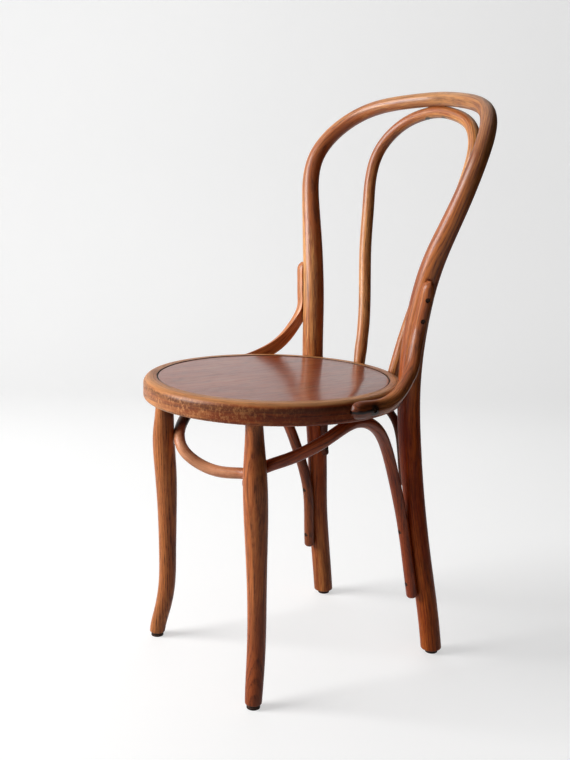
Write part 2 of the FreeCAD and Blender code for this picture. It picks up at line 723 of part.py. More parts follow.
leg_cuts.append(block(leg_joint_flat, leg_joint_out, UP, 20, 20, 20, 15))
brace_cuts.append(block(leg_joint_flat, -leg_joint_out, UP, 30, 30, 14, 12))
brace_crown = polar(ring_radius - brace_top_inset, brace_top_angle, ring_bottom)
brace_cuts.append(block(brace_crown, UP, polar(1, brace_top_angle + 90), 50, 50, 20, 15))

for cuts in (hoop_cuts, inner_cuts, ring_cuts, brace_cuts, bow_cuts):
    cuts.extend([mirrored(cut) for cut in list(cuts)])

crown_flat_point = Vector(0, crown_y, crown_height) + crown_way * (crown_diameter / 2 - crown_flat)
hoop_cuts.append(block(crown_flat_point, crown_way, along_x, crown_flat_half, crown_flat_half, 20, 15))
inner_cuts.append(block(crown_flat_point, -crown_way, along_x, 60, 60, 20, 15))
bow_cuts.append(block(bow_crown, UP, along_x, 50, 50, 20, 15))

# Screws and nails are turned bodies along their own Z axis: the head stands above the origin and the
# shank goes down from it.


def sketch_on(body, role, name):
    """New sketch on one of the body's own origin planes."""
    sketch = body.newObject("Sketcher::SketchObject", name)
    plane = [item for item in body.Origin.OriginFeatures if item.Role == role][0]
    sketch.AttachmentSupport = [(plane, "")]
    sketch.MapMode = "FlatFace"
    return sketch


def circle_sketch(body, name, diameter, x, y, z):
    """Level circle whose diameter and centre are expressions of the sheet."""
    sketch = sketch_on(body, "XY_Plane", name)
    sketch.addGeometry(Part.Circle(Vector(0, 0, 0), Vector(0, 0, 1), 10), False)
    sketch.addConstraint(Sketcher.Constraint("Coincident", 0, 3, -1, 1))
    sketch.addConstraint(Sketcher.Constraint("Diameter", 0, 20))
    sketch.setExpression("Constraints[1]", diameter)
    sketch.setExpression(".AttachmentOffset.Base.x", x)
    sketch.setExpression(".AttachmentOffset.Base.y", y)
    sketch.setExpression(".AttachmentOffset.Base.z", z)
    return sketch


def rectangle(body, role, name, left, right, bottom, top):
    """Rectangle on an origin plane. Its sides are expressions of the sheet."""
    sketch = sketch_on(body, role, name)
    corners = [Vector(-7, -9, 0), Vector(5, -9, 0), Vector(5, 3, 0), Vector(-7, 3, 0)]
    for k in range(4):
        sketch.addGeometry(Part.LineSegment(corners[k], corners[(k + 1) % 4]), False)
    for k in range(4):
        sketch.addConstraint(Sketcher.Constraint("Coincident", k, 2, (k + 1) % 4, 1))
    for k in range(4):
        sketch.addConstraint(Sketcher.Constraint("Vertical" if k % 2 else "Horizontal", k))
    sides = (("DistanceX", 1, left, -7), ("DistanceX", 2, right, 5),
             ("DistanceY", 1, bottom, -9), ("DistanceY", 2, top, 3))
    for k, (way, end, expression, start) in enumerate(sides):
        line = 0 if k < 3 else 1
        place = sketch.addConstraint(Sketcher.Constraint(way, -1, 1, line, end, start))
        sketch.setExpression("Constraints[%d]" % place, expression)
    return sketch


def turn_round(body, sketch, name, kind="PartDesign::Revolution"):
    """Turn a sketch of the XZ plane about the body's Z axis."""
    feature = body.newObject(kind, name)
    feature.Profile = sketch
    feature.ReferenceAxis = (sketch, ["V_Axis"])
    feature.Angle = 360
    sketch.Visibility = False
    doc.recompute()
    return feature


def rims(shape, radius, height):
    """Names of a turned shape's round edges at a radius and a height."""
    names = []
    for k, edge in enumerate(shape.Edges):
        curve = edge.Curve
        if isinstance(curve, Part.Circle) and abs(curve.Radius - radius) < 0.01:
            if abs(curve.Center.z - height) < 0.01:
                names.append("Edge%d" % (k + 1))
    return names


def round_rim(body, name, base, radius, height, amount, kind="PartDesign::Fillet"):
    """Round or chamfer a turned body's rim. The amount is an expression of the sheet."""
    feature = body.newObject(kind, name)
    feature.Base = (base, rims(base.Shape, radius, height))
    feature.setExpression("Radius" if kind.endswith("Fillet") else "Size", amount)
    doc.recompute()
    return feature


def turned_fastener(name, shank, head, head_height, length, point, slot):
    """Screw or nail. Its arguments are names of sizes, and a nail has no slot."""
    body = doc.addObject("PartDesign::Body", name)
    radius = number("sizes.%s / 2" % shank)
    tip = -number("sizes.%s" % length)
    sketch = rectangle(body, "XZ_Plane", name + "_shank_sketch", "0", "sizes.%s / 2" % shank,
                       "-sizes.%s" % length, "0")
    stem = turn_round(body, sketch, name + "_shank")
    stem = round_rim(body, name + "_point", stem, radius, tip, "sizes.%s" % point, "PartDesign::Chamfer")
    sketch = rectangle(body, "XZ_Plane", name + "_head_sketch", "0", "sizes.%s / 2" % head, "0",
                       "sizes.%s" % head_height)
    top = turn_round(body, sketch, name + "_head")
    if slot:
        top = round_rim(body, name + "_head_round", top, number("sizes.%s / 2" % head),
                        number("sizes.%s" % head_height), "sizes.screw_head_round")
        groove = rectangle(body, "XY_Plane", name + "_slot_sketch", "-sizes.%s" % head, "sizes.%s" % head,
                           "-sizes.screw_slot / 2", "sizes.screw_slot / 2")
        groove.setExpression(".AttachmentOffset.Base.z", "sizes.%s" % head_height)
        pocket = body.newObject("PartDesign::Pocket", name + "_slot")
        pocket.Profile = groove
        pocket.setExpression("Length", "sizes.screw_slot_depth")
        groove.Visibility = False
        doc.recompute()
        if not pocket.Shape.Volume < top.Shape.Volume:
            raise RuntimeError("the slot of %s cuts nothing" % name)
    return body


long_body = turned_fastener("long_screw_body", "screw_shank", "screw_head", "screw_head_height",
                            "long_screw", "screw_point", True)
short_body = turned_fastener("short_screw_body", "screw_shank", "screw_head", "screw_head_height",
                             "short_screw", "screw_point", True)
post_body = turned_fastener("post_screw_body", "post_screw_shank", "post_screw_head",
                            "post_screw_head_height", "post_screw_length", "screw_point", True)
nail_body = turned_fastener("nail_body", "nail_shank", "nail_head", "nail_head_height", "nail_length",
                            "nail_point", False)


def facing(point, inward):
    """Placement that puts a fastener's origin at a point, with its shank going inward."""
    return Placement(point, Rotation(UP, -inward))


def bore(point, inward, shank, head, length):
    """Hole for a fastener: for its shank, and wider outside the point for its head."""
    hole = Part.makeCylinder(shank / 2 + screw_fit / 2, length + hole_end_gap, point, inward)
    wide = Part.makeCylinder(head / 2 + screw_head_room, 15, point, -inward)
    return hole.fuse(wide)


def screw_row(label, body, length, spots, cut_lists):
    """Node of like screws. Each spot is a surface point and the way in; the holes join the cut lists."""
    shapes = []
    for point, inward in spots:
        floor = point + inward * (screw_sink + screw_head_height)
        shape = body.Shape.copy()
        shape.Placement = facing(floor, inward)
        shapes.append(shape)
        for cuts in cut_lists:
            cuts.append(bore(floor, inward, screw_shank, screw_head, length))
    shape_feature(label, Part.makeCompound(shapes))


def pair(point, inward):
    """A screw's spot on the right and its mirror on the left."""
    return [(point, inward), (other_side(point), other_side(inward))]


hip_cuts = []
hip_high_face = hip_high + hip_out * hip_thickness
hip_low_face = hip_low + hip_out * hip_thickness
screw_row("hip_post_screws", long_body, long_screw,
          pair(hip_high_face, -hip_out) + pair(hip_low_face, -hip_out), [hoop_cuts, hip_cuts])
tongue_out = polar(1, hip_tongue_screw_angle)
tongue_face = polar(ring_radius - 0.5 + hip_tongue_thickness, hip_tongue_screw_angle,
                    seat_height - hip_tongue_drop)
screw_row("hip_ring_screws", long_body, long_screw, pair(tongue_face, -tongue_out), [ring_cuts, hip_cuts])
screw_row("leg_brace_screws", long_body, long_screw,
          pair(brace_high + rear_out * brace_radius, -rear_out)
          + pair(brace_low + rear_out * brace_radius, -rear_out), [hoop_cuts, brace_cuts])
leg_spots = pair(brace_at_leg + leg_joint_out * brace_radius, -leg_joint_out)
screw_row("front_leg_brace_screws", long_body, long_screw, leg_spots, [brace_cuts])
brace_crown_face = brace_crown - UP * (brace_diameter - brace_flat)
screw_row("ring_brace_screws", long_body, long_screw, pair(brace_crown_face, UP), [ring_cuts, brace_cuts])
screw_row("rear_bow_screws", long_body, long_screw,
          pair(bow_high + bow_out * bow_radius, -bow_out) + pair(bow_low + bow_out * bow_radius, -bow_out),
          [hoop_cuts, bow_cuts])
screw_row("rear_bow_ring_screw", short_body, short_screw, [(bow_crown - UP * (bow_diameter - bow_flat), UP)],
          [ring_cuts, bow_cuts])
inner_foot = polar(inner_reach + inner_diameter / 2, inner_angle, ring_middle)
screw_row("inner_hoop_foot_screws", long_body, long_screw, pair(inner_foot, -inner_out),
          [ring_cuts, inner_cuts])


def under_crown(half):
    """Point on the inner hoop's crown, on its side away from the back hoop, at a half width."""
    low = inner_line.length / 2 - 60
    high = inner_line.length / 2
    while high - low > 0.001:
        middle = (low + high) / 2
        if inner_line.at(middle)[0].x > half:
            low = middle
        else:
            high = middle
    return inner_line.at(low)[0] + crown_way * (inner_crown_diameter / 2)


screw_row("inner_hoop_top_screws", short_body, short_screw,
          pair(under_crown(crown_screw_half), -crown_way), [hoop_cuts, inner_cuts])
socket_way = polar(1, -leg_socket_angle)
leg_screw_start = polar(ring_inside, -leg_socket_angle, ring_bottom + leg_screw_rise)
screw_row("leg_screws", short_body, short_screw, pair(leg_screw_start, socket_way), [ring_cuts])

# A screw and its washer draw each post against the ring, from inside the ring.
post_seat = polar(ring_inside + washer_seat_depth, post_angle, ring_middle)
post_screw_floor = post_seat - post_out * washer_thickness
post_screws = []
for point, inward in pair(post_screw_floor, post_out):
    shape = post_body.Shape.copy()
    shape.Placement = facing(point, inward)
    post_screws.append(shape)
    hole = Part.makeCylinder(post_screw_shank / 2 + screw_fit / 2, post_screw_length + hole_end_gap, point, inward)
    hoop_cuts.append(hole)
    ring_cuts.append(hole)
shape_feature("post_screws", Part.makeCompound(post_screws))

washers = []
for point, inward in pair(post_screw_floor, post_out):
    washer = Part.makeCylinder(washer_diameter / 2, washer_thickness, point, inward)
    washers.append(washer.cut(Part.makeCylinder(post_screw_shank / 2 + screw_fit / 2, 10, point, inward)))
    seat = point + inward * washer_thickness
    ring_cuts.append(Part.makeCylinder(washer_diameter / 2 + screw_head_room, 10, seat, -inward))
shape_feature("post_washers", Part.makeCompound(washers))

# Glide nails, one up into each foot.
glide_points = [Vector(joint_half + foot_out, joint_back + foot_back, 0), leg_place(leg_foot_in, leg_foot_side)]
nail_floor = nail_sink + nail_head_height
nails = []
for point in glide_points:
    for spot, inward in pair(point + UP * nail_floor, UP):
        shape = nail_body.Shape.copy()
        shape.Placement = facing(spot, inward)
        nails.append(shape)
        if point is glide_points[0]:
            hoop_cuts.append(bore(spot, inward, nail_shank, nail_head, nail_length))
shape_feature("glide_nails", Part.makeCompound(nails))

shape_feature("back_hoop", back_hoop.cut(hoop_cuts))
shape_feature("inner_hoop", inner_hoop.cut(inner_cuts))
shape_feature("leg_brace", leg_brace.cut(brace_cuts))
shape_feature("rear_bow", rear_bow.cut(bow_cuts))
hip_brace = hip_brace.cut([cut for cut in hip_cuts if cut.BoundBox.Center.x > 0])
shape_feature("hip_brace_right", hip_brace)
shape_feature("hip_brace_left", mirrored(hip_brace))


def cut_away(body, cuts, label):
    """Take the flats, sockets and holes out of a body."""
    tool = doc.addObject("Part::Feature", label + "_holes")
    tool.Shape = cuts[0].fuse(cuts[1:])
    cut = doc.addObject("Part::Cut", label + "_cut")
    cut.Base = body
    cut.Tool = tool
    return finish(cut, label)


# Seat ring: turned from a rectangle, with a rebate for the panel.
ring = doc.addObject("PartDesign::Body", "ring_body")
sketch = rectangle(ring, "XZ_Plane", "ring_sketch", RING_INSIDE, RING_RADIUS, RING_BOTTOM, "sizes.seat_height")
ring_stock = turn_round(ring, sketch, "ring_stock")
sketch = rectangle(ring, "XZ_Plane", "rebate_sketch", RING_INSIDE + " - 1", REBATE_RADIUS, LEDGE,
                   "sizes.seat_height + 1")
rebate = turn_round(ring, sketch, "rebate", "PartDesign::Groove")
if not rebate.Shape.Volume < ring_stock.Shape.Volume:
    raise RuntimeError("the rebate cuts nothing")
rounded = round_rim(ring, "top_round", rebate, ring_radius, seat_height, "sizes.ring_top_round")
rounded = round_rim(ring, "bottom_round", rounded, ring_radius, ring_bottom, "sizes.ring_bottom_round")
rounded = round_rim(ring, "inner_round", rounded, ring_inside, ring_bottom, "sizes.ring_inner_round")
round_rim(ring, "joint_round", rounded, number(REBATE_RADIUS), seat_height, "sizes.panel_edge_round")
for side in (1, -1):
    socket = polar(ring_radius - leg_socket_inset, -leg_socket_angle, ring_bottom - 1)
    socket.x *= side
    ring_cuts.append(Part.makeCylinder(leg_tenon_diameter / 2 + tenon_fit / 2,
                                       leg_tenon_length + tenon_end_gap + 1, socket, UP))
cut_away(ring, ring_cuts, "seat_ring")

# Seat panel: a thin disc in the rebate.
panel = doc.addObject("PartDesign::Body", "panel_body")
sketch = rectangle(panel, "XZ_Plane", "panel_sketch", "0", "sizes.panel_diameter / 2", LEDGE, PANEL_TOP)
disc = turn_round(panel, sketch, "panel_disc")
round_rim(panel, "panel_round", disc, panel_diameter / 2, number(PANEL_TOP), "sizes.panel_edge_round")
finish(panel, "seat_panel")

# Front legs: turned rods through level circles, with a tenon up into the ring.
LEG_PLACES = ("foot", "ankle", "shin", "calf", "knee", "swell", "joint")


def leg_x(inwards, side, mirror):
    """Expression for a level place of a front leg along X."""
    value = "((%s - %s) * cos(sizes.leg_socket_angle) + %s * sin(sizes.leg_socket_angle))"
    return mirror + value % (SOCKET_RADIUS, inwards, side)


def leg_y(inwards, side):
    """Expression for a level place of a front leg along Y."""
    value = "(%s * cos(sizes.leg_socket_angle) - (%s - %s) * sin(sizes.leg_socket_angle))"
    return value % (side, SOCKET_RADIUS, inwards)


def front_leg(label, mirror):
    """Front leg. The mirror is a minus sign for the left one."""
    body = doc.addObject("PartDesign::Body", label + "_body")
    circles = []
    for name in LEG_PLACES:
        inwards = "sizes.leg_%s_in" % name
        side = "sizes.leg_%s_side" % name
        height = "sizes.glide_height" if name == "foot" else "sizes.leg_%s_height" % name
        circles.append(circle_sketch(body, "%s_%s" % (label, name), "sizes.leg_%s_diameter" % name,
                                     leg_x(inwards, side, mirror), leg_y(inwards, side), height))
    top_x = leg_x("0", "0", mirror)
    top_y = leg_y("0", "0")
    circles.append(circle_sketch(body, label + "_top", "sizes.leg_top_diameter", top_x, top_y, RING_BOTTOM))
    doc.recompute()
    rod = body.newObject("PartDesign::AdditiveLoft", label + "_rod")
    rod.Profile = circles[-1]
    rod.Sections = circles[-2::-1]
    rod.Ruled = False
    doc.recompute()
    foot = body.newObject("PartDesign::Fillet", label + "_foot_round")
    low = [k for k, edge in enumerate(rod.Shape.Edges) if edge.BoundBox.ZMax < glide_height + 0.05]
    foot.Base = (rod, ["Edge%d" % (k + 1) for k in low])
    foot.setExpression("Radius", "sizes.leg_foot_round")
    doc.recompute()
    tenon_sketch = circle_sketch(body, label + "_tenon_circle", "sizes.leg_tenon_diameter", top_x, top_y,
                                 RING_BOTTOM)
    tenon = body.newObject("PartDesign::Pad", label + "_tenon")
    tenon.Profile = tenon_sketch
    tenon.setExpression("Length", "sizes.leg_tenon_length")
    doc.recompute()
    return body


leg_nail = bore(glide_points[1] + UP * nail_floor, UP, nail_shank, nail_head, nail_length)
leg_brace_spot, leg_brace_way = leg_spots[0]
leg_cuts.append(bore(leg_brace_spot + leg_brace_way * (screw_sink + screw_head_height), leg_brace_way,
                     screw_shank, screw_head, long_screw))
leg_cuts.append(Part.makeCylinder(screw_shank / 2 + screw_fit / 2, short_screw + 10, leg_screw_start, socket_way))
leg_cuts.append(leg_nail)
cut_away(front_leg("front_leg_right", ""), leg_cuts, "front_leg_right")
cut_away(front_leg("front_leg_left", "-"), [mirrored(cut) for cut in leg_cuts], "front_leg_left")

# Glides: discs under the feet, each with a hole for its nail.


def glide(label, x, y):
    """Glide under one foot, drawn about its own axis."""
    body = doc.addObject("PartDesign::Body", label + "_body")
    outline = rectangle(body, "XZ_Plane", label + "_sketch", "(sizes.nail_shank + sizes.screw_fit) / 2",
                        "sizes.glide_diameter / 2", "0", "sizes.glide_height")
    disc = turn_round(body, outline, label + "_disc")
    sunk = rectangle(body, "XZ_Plane", label + "_sink_sketch", "0", "sizes.nail_head / 2 + sizes.screw_head_room",
                     "-1", "sizes.nail_sink + sizes.nail_head_height")
    recess = turn_round(body, sunk, label + "_sink", "PartDesign::Groove")
    if not recess.Shape.Volume < disc.Shape.Volume:
        raise RuntimeError("the recess of %s cuts nothing" % label)
    round_rim(body, label + "_edge", recess, glide_diameter / 2, 0, "sizes.glide_edge_round")
    return finish(body, label, x, y)


REAR_X = "(%s + sizes.foot_out)" % JOINT_HALF
REAR_Y = "(%s + sizes.foot_back)" % JOINT_BACK
FRONT_Y = leg_y("sizes.leg_foot_in", "sizes.leg_foot_side")
glide("glide_rear_right", REAR_X, REAR_Y)
glide("glide_rear_left", "-" + REAR_X, REAR_Y)
glide("glide_front_right", leg_x("sizes.leg_foot_in", "sizes.leg_foot_side", ""), FRONT_Y)
glide("glide_front_left", leg_x("sizes.leg_foot_in", "sizes.leg_foot_side", "-"), FRONT_Y)

# Check every object, then write each sub-part to its own file.
doc.recompute()
for item in doc.Objects:
    if "Invalid" in item.State or "Error" in item.State:
        raise RuntimeError("%s failed: %s" % (item.Name, item.State))
os.makedirs("parts", exist_ok=True)
for item in sub_parts:
    shape = item.Shape
    if shape.isNull() or not shape.isValid() or not shape.Solids:
        raise RuntimeError("%s has no valid solid" % item.Label)
for item in sub_parts:
    item.Shape.exportStep("parts/%s.step" % item.Label)
    box = item.Shape.BoundBox
    print("%-24s %2d solids %10.0f mm3  x %7.1f %7.1f  y %7.1f %7.1f  z %7.1f %7.1f" % (
        item.Label, len(item.Shape.Solids), item.Shape.Volume,
        box.XMin, box.XMax, box.YMin, box.YMax, box.ZMin, box.ZMax))
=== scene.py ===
import math

import bmesh
import bpy
import numpy as np
from mathutils import Matrix, Vector


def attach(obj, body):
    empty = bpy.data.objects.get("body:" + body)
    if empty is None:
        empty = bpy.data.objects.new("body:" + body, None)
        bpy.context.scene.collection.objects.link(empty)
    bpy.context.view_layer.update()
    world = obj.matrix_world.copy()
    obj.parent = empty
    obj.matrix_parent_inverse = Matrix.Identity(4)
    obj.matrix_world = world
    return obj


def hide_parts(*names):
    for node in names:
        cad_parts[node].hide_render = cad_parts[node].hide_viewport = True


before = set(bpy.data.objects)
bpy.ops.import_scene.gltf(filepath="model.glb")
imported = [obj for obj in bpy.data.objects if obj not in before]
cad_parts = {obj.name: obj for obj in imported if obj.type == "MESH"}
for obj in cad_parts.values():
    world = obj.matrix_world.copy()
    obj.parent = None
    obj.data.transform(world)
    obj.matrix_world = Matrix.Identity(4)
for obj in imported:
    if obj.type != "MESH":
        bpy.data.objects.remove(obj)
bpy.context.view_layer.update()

# The camera. It stands off the chair's front corner at about the height of a table top, looks down a
# little, and is tipped by a degree and a half, as in the photograph.
eye_place = (1.3689, -1.01225, 0.7937)
view_turn = math.radians(54.67)
view_dip = math.radians(11.45)
view_tip = math.radians(1.47)
to_eye = Vector((math.sin(view_turn) * math.cos(view_dip), -math.cos(view_turn) * math.cos(view_dip),
                 math.sin(view_dip)))
level_right = Vector((math.cos(view_turn), math.sin(view_turn), 0))
level_up = level_right.cross(-to_eye)
eye_right = level_right * math.cos(view_tip) + level_up * math.sin(view_tip)
eye_up = level_up * math.cos(view_tip) - level_right * math.sin(view_tip)
lens = bpy.data.cameras.new("studio camera")
lens.sensor_fit = "AUTO"
lens.sensor_width = 36
lens.lens = 51.23
camera = bpy.data.objects.new("studio camera", lens)
camera.matrix_world = Matrix.Translation(eye_place) @ Matrix(
    (eye_right, eye_up, to_eye)).transposed().to_4x4()
bpy.context.scene.collection.objects.link(camera)
bpy.context.scene.camera = camera
bpy.context.scene.view_settings.view_transform = "Standard"

# The studio. A pale floor runs into a pale wall by a soft cove. A large window lights the chair from
# the picture's left, weak lamps light it from above and from behind, and a dark cloth on its right
# keeps the varnish dark on that side.


def add_node(tree, kind, *feeds, **settings):
    """Puts a node into a tree. Each feed is a socket's name or number with what goes into it."""
    node = tree.nodes.new("ShaderNode" + kind)
    for name, value in settings.items():
        setattr(node, name, value)
    for slot, feed in feeds:
        if isinstance(feed, bpy.types.NodeSocket):
            tree.links.new(feed, node.inputs[slot])
        else:
            node.inputs[slot].default_value = feed
    return node


def maths(tree, operation, *values):
    """One step of sums."""
    return add_node(tree, "Math", *enumerate(values), operation=operation).outputs[0]


def times(tree, product, *others):
    """Two or more values multiplied together."""
    for other in others:
        product = maths(tree, "MULTIPLY", product, other)
    return product


def here(tree):
    """A point's own place, in metres in the chair's frame."""
    return add_node(tree, "TexCoord").outputs["Object"]


def stain(red, green, blue):
    """A colour as the eye reads it, each part from 0 to 255."""
    parts = [value / 255 for value in (red, green, blue)]
    return tuple(p / 12.92 if p <= 0.04045 else ((p + 0.055) / 1.055) ** 2.4 for p in parts) + (1,)


away = Vector((-math.sin(view_turn), math.cos(view_turn), 0))
sideways = Vector((math.cos(view_turn), math.sin(view_turn), 0))
floor_front, cove_start, cove_radius, wall_top, half_span = 8, 1.9, 0.8, 5.5, 9
sweep = bmesh.new()
front_corner = sweep.verts.new(-away * floor_front - sideways * half_span)
cove_corner = sweep.verts.new(away * cove_start - sideways * half_span)
sweep.edges.new((front_corner, cove_corner))
cove = bmesh.ops.spin(sweep, geom=[cove_corner], cent=cove_corner.co + Vector((0, 0, cove_radius)),
                      axis=away.cross(Vector((0, 0, 1))), angle=math.radians(90), steps=24)
top_corner = [item for item in cove["geom_last"] if isinstance(item, bmesh.types.BMVert)][0]
wall_end = bmesh.ops.extrude_vert_indiv(sweep, verts=[top_corner])["verts"][0]
wall_end.co.z = wall_top
across = bmesh.ops.extrude_edge_only(sweep, edges=sweep.edges[:])["geom"]
bmesh.ops.translate(sweep, verts=[item for item in across if isinstance(item, bmesh.types.BMVert)],
                    vec=sideways * 2 * half_span)
bmesh.ops.recalc_face_normals(sweep, faces=sweep.faces[:])
for face in sweep.faces:
    face.smooth = True
backdrop_mesh = bpy.data.meshes.new("studio_floor")
sweep.to_mesh(backdrop_mesh)
sweep.free()
backdrop = bpy.data.objects.new("studio_floor", backdrop_mesh)
bpy.context.scene.collection.objects.link(backdrop)

paper = bpy.data.materials.new("studio paper")
paper.use_nodes = True
paper_tree = paper.node_tree
paper_shader = paper_tree.nodes["Principled BSDF"]
paper_shader.inputs["Roughness"].default_value = 0.85
paper_shader.inputs["Specular IOR Level"].default_value = 0.2
paper_mottle = add_node(paper_tree, "TexNoise", ("Vector", here(paper_tree)), ("Scale", 1.7),
                        ("Detail", 4.0))
paper_shade = add_node(paper_tree, "MixRGB", (0, paper_mottle.outputs["Fac"]), (1, stain(186, 186, 186)),
                       (2, stain(192, 192, 191)))
paper_tree.links.new(paper_shade.outputs[0], paper_shader.inputs["Base Color"])
paper_glow, mirrored_share = 0.565, 0.72
paper_seen = add_node(paper_tree, "LightPath").outputs
straight = maths(paper_tree, "MAXIMUM", paper_seen["Is Transmission Ray"], paper_seen["Is Camera Ray"])
glow_share = maths(paper_tree, "MAXIMUM", straight,
                   times(paper_tree, paper_seen["Is Glossy Ray"], mirrored_share))
paper_shader.inputs["Emission Color"].default_value = stain(250, 250, 250)
paper_tree.links.new(times(paper_tree, glow_share, paper_glow), paper_shader.inputs["Emission Strength"])
backdrop_mesh.materials.append(paper)

lit_height = 0.5
for name, way, distance, width, height, watts in (
        ("window", Vector((-0.43, -0.90, 0.46)), 2.9, 1.6, 2.0, 119),
        ("high fill", Vector((-0.6, 0.1, 1.6)), 3.4, 3.0, 3.0, 12),
        ("back fill", away + Vector((0, 0, 0.45)), 1.7, 1.3, 1.3, 3.5)):
    lamp = bpy.data.lights.new(name, "AREA")
    lamp.shape, lamp.size, lamp.size_y, lamp.energy = "RECTANGLE", width, height, watts
    lamp_stand = bpy.data.objects.new(name, lamp)
    way = way.normalized()
    lamp_stand.matrix_world = Matrix.Translation(
        Vector((0, 0, lit_height)) + way * distance) @ way.to_track_quat("Z", "Y").to_matrix().to_4x4()
    # The lamp behind the chair would show as a square patch in the polished seat.
    lamp_stand.visible_glossy = name != "back fill"
    lamp_stand.visible_camera = False
    bpy.context.scene.collection.objects.link(lamp_stand)

cloth_half_width, cloth_half_height = 1.9, 1.2
cloth_place = sideways * 1.25 + away * 0.4 + Vector((0, 0, cloth_half_height))
cloth = bmesh.new()
bmesh.ops.create_grid(cloth, x_segments=1, y_segments=1, size=1.0)
bmesh.ops.scale(cloth, vec=(cloth_half_width, cloth_half_height, 1), verts=cloth.verts)
cloth_turn = Matrix((away, (0, 0, 1), -sideways)).transposed().to_4x4()
bmesh.ops.transform(cloth, matrix=Matrix.Translation(cloth_place) @ cloth_turn, verts=cloth.verts)
cloth_mesh = bpy.data.meshes.new("studio_dark_cloth")
cloth.to_mesh(cloth_mesh)
cloth.free()
dark_cloth = bpy.data.objects.new("studio_dark_cloth", cloth_mesh)
bpy.context.scene.collection.objects.link(dark_cloth)
dark_cloth.visible_camera = False
dark_cloth.visible_shadow = False
cloth_dye = bpy.data.materials.new("studio dark cloth")
cloth_dye.use_nodes = True
cloth_shader = cloth_dye.node_tree.nodes["Principled BSDF"]
cloth_shader.inputs["Base Color"].default_value = (0.02, 0.017, 0.015, 1)
cloth_shader.inputs["Specular IOR Level"].default_value = 0.0
cloth_mesh.materials.append(cloth_dye)

room = bpy.data.worlds.new("studio room")
room.use_nodes = True
room_tree = room.node_tree
window_side, dim_mirrored, pale_mirrored = (-0.9, 0.2, 0.3), 0.36, 0.6
weak_light, background = (0.09, 0.09, 0.094, 1), (0.8, 0.8, 0.8, 1)
room_way = add_node(room_tree, "TexCoord").outputs["Generated"]
room_side = add_node(room_tree, "VectorMath", (0, room_way), (1, window_side), operation="DOT_PRODUCT")
room_pale = add_node(room_tree, "MapRange", (0, room_side.outputs["Value"]), (1, -0.9), (2, 0.9),
                     (3, dim_mirrored), (4, pale_mirrored))
seen = add_node(room_tree, "LightPath").outputs
seen_straight = maths(room_tree, "MAXIMUM", seen["Is Camera Ray"], seen["Is Transmission Ray"])
room_mirrored = add_node(room_tree, "MixRGB", (0, seen["Is Glossy Ray"]), (1, weak_light),
                         (2, room_pale.outputs[0]))
room_level = add_node(room_tree, "MixRGB", (0, seen_straight), (1, room_mirrored.outputs[0]),
                      (2, background))
room_tree.links.new(room_level.outputs[0], room_tree.nodes["Background"].inputs["Color"])
bpy.context.scene.world = room

# The back hoop. One steam-bent rod of an open-grained hardwood makes the left rear leg, the post, the
# top arch, the right post and the right rear leg. Its varnish is honey brown, worn pale where hands go.
seat_forward = 0.06405


def own_copy(node):
    """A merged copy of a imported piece, which takes its place and can carry the run of its grain."""
    same_point, sharp_edge = 2e-6, math.radians(30)
    work = bmesh.new()
    work.from_mesh(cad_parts[node].data)
    bmesh.ops.remove_doubles(work, verts=work.verts[:], dist=same_point)
    for edge in work.edges:
        edge.smooth = not edge.is_manifold or edge.calc_face_angle(0) < sharp_edge
    for face in work.faces:
        face.smooth = True
        face.material_index = 0
    mesh = bpy.data.meshes.new(node + "_wood")
    work.to_mesh(mesh)
    work.free()
    if "custom_normal" in mesh.attributes:
        mesh.attributes.remove(mesh.attributes["custom_normal"])
    piece = bpy.data.objects.new(node + "_wood", mesh)
    bpy.context.scene.collection.objects.link(piece)
    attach(piece, "root")
    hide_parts(node)
    return piece


def both_halves(right_half, middle):
    """A rod's stations from its right end to its left one."""
    return right_half + [middle] + [(-x, y, z) for x, y, z in right_half[::-1]]


def run_grain(piece, stations):
    """Gives every point its run along the bent rod and its two places across it, in metres.

    The stations are the rod's middle in millimetres, from the floor under the seat's middle."""
    steps, batch = 24, 3000
    marks = np.array(stations, float) / 1000 + (0, -seat_forward, 0)
    ends = np.vstack([2 * marks[0] - marks[1], marks, 2 * marks[-1] - marks[-2]])
    line = []
    for a, b, c, d in zip(ends, ends[1:], ends[2:], ends[3:]):
        for t in np.linspace(0, 1, steps, endpoint=False):
            line.append(0.5 * (2 * b + (c - a) * t + (2 * a - 5 * b + 4 * c - d) * t ** 2
                               + (3 * b - a - 3 * c + d) * t ** 3))
    line = np.array(line + [marks[-1]])
    heading = np.gradient(line, axis=0)
    heading /= np.linalg.norm(heading, axis=1)[:, None]
    run = np.concatenate([[0], np.cumsum(np.linalg.norm(np.diff(line, axis=0), axis=1))])
    side = np.zeros_like(line)
    side[0] = np.cross(heading[0], (0.3, 1, 0.1))
    for i in range(len(line)):
        start = side[max(i - 1, 0)]
        side[i] = start - heading[i] * start.dot(heading[i])
        side[i] /= np.linalg.norm(side[i])
    other = np.cross(heading, side)
    points = np.zeros(len(piece.data.vertices) * 3, np.float32)
    piece.data.vertices.foreach_get("co", points)
    points = points.reshape(-1, 3).astype(float)
    grain = np.zeros((len(points), 3), np.float32)
    for first in range(0, len(points), batch):
        some = points[first:first + batch]
        near = ((some[:, None] - line[None]) ** 2).sum(2).argmin(1)
        off = some - line[near]
        grain[first:first + batch, 0] = run[near] + (off * heading[near]).sum(1)
        grain[first:first + batch, 1] = (off * side[near]).sum(1)
        grain[first:first + batch, 2] = (off * other[near]).sum(1)
    piece.data.attributes.new("grain", "FLOAT_VECTOR", "POINT").data.foreach_set("vector", grain.ravel())


def along_rod(tree):
    """A point's run along its rod and its places across it, as run_grain leaves them."""
    return add_node(tree, "Attribute", attribute_name="grain", attribute_type="GEOMETRY").outputs["Vector"]


def parts_of(tree, place):
    """The three parts of a place."""
    return add_node(tree, "SeparateXYZ", (0, place)).outputs[:3]


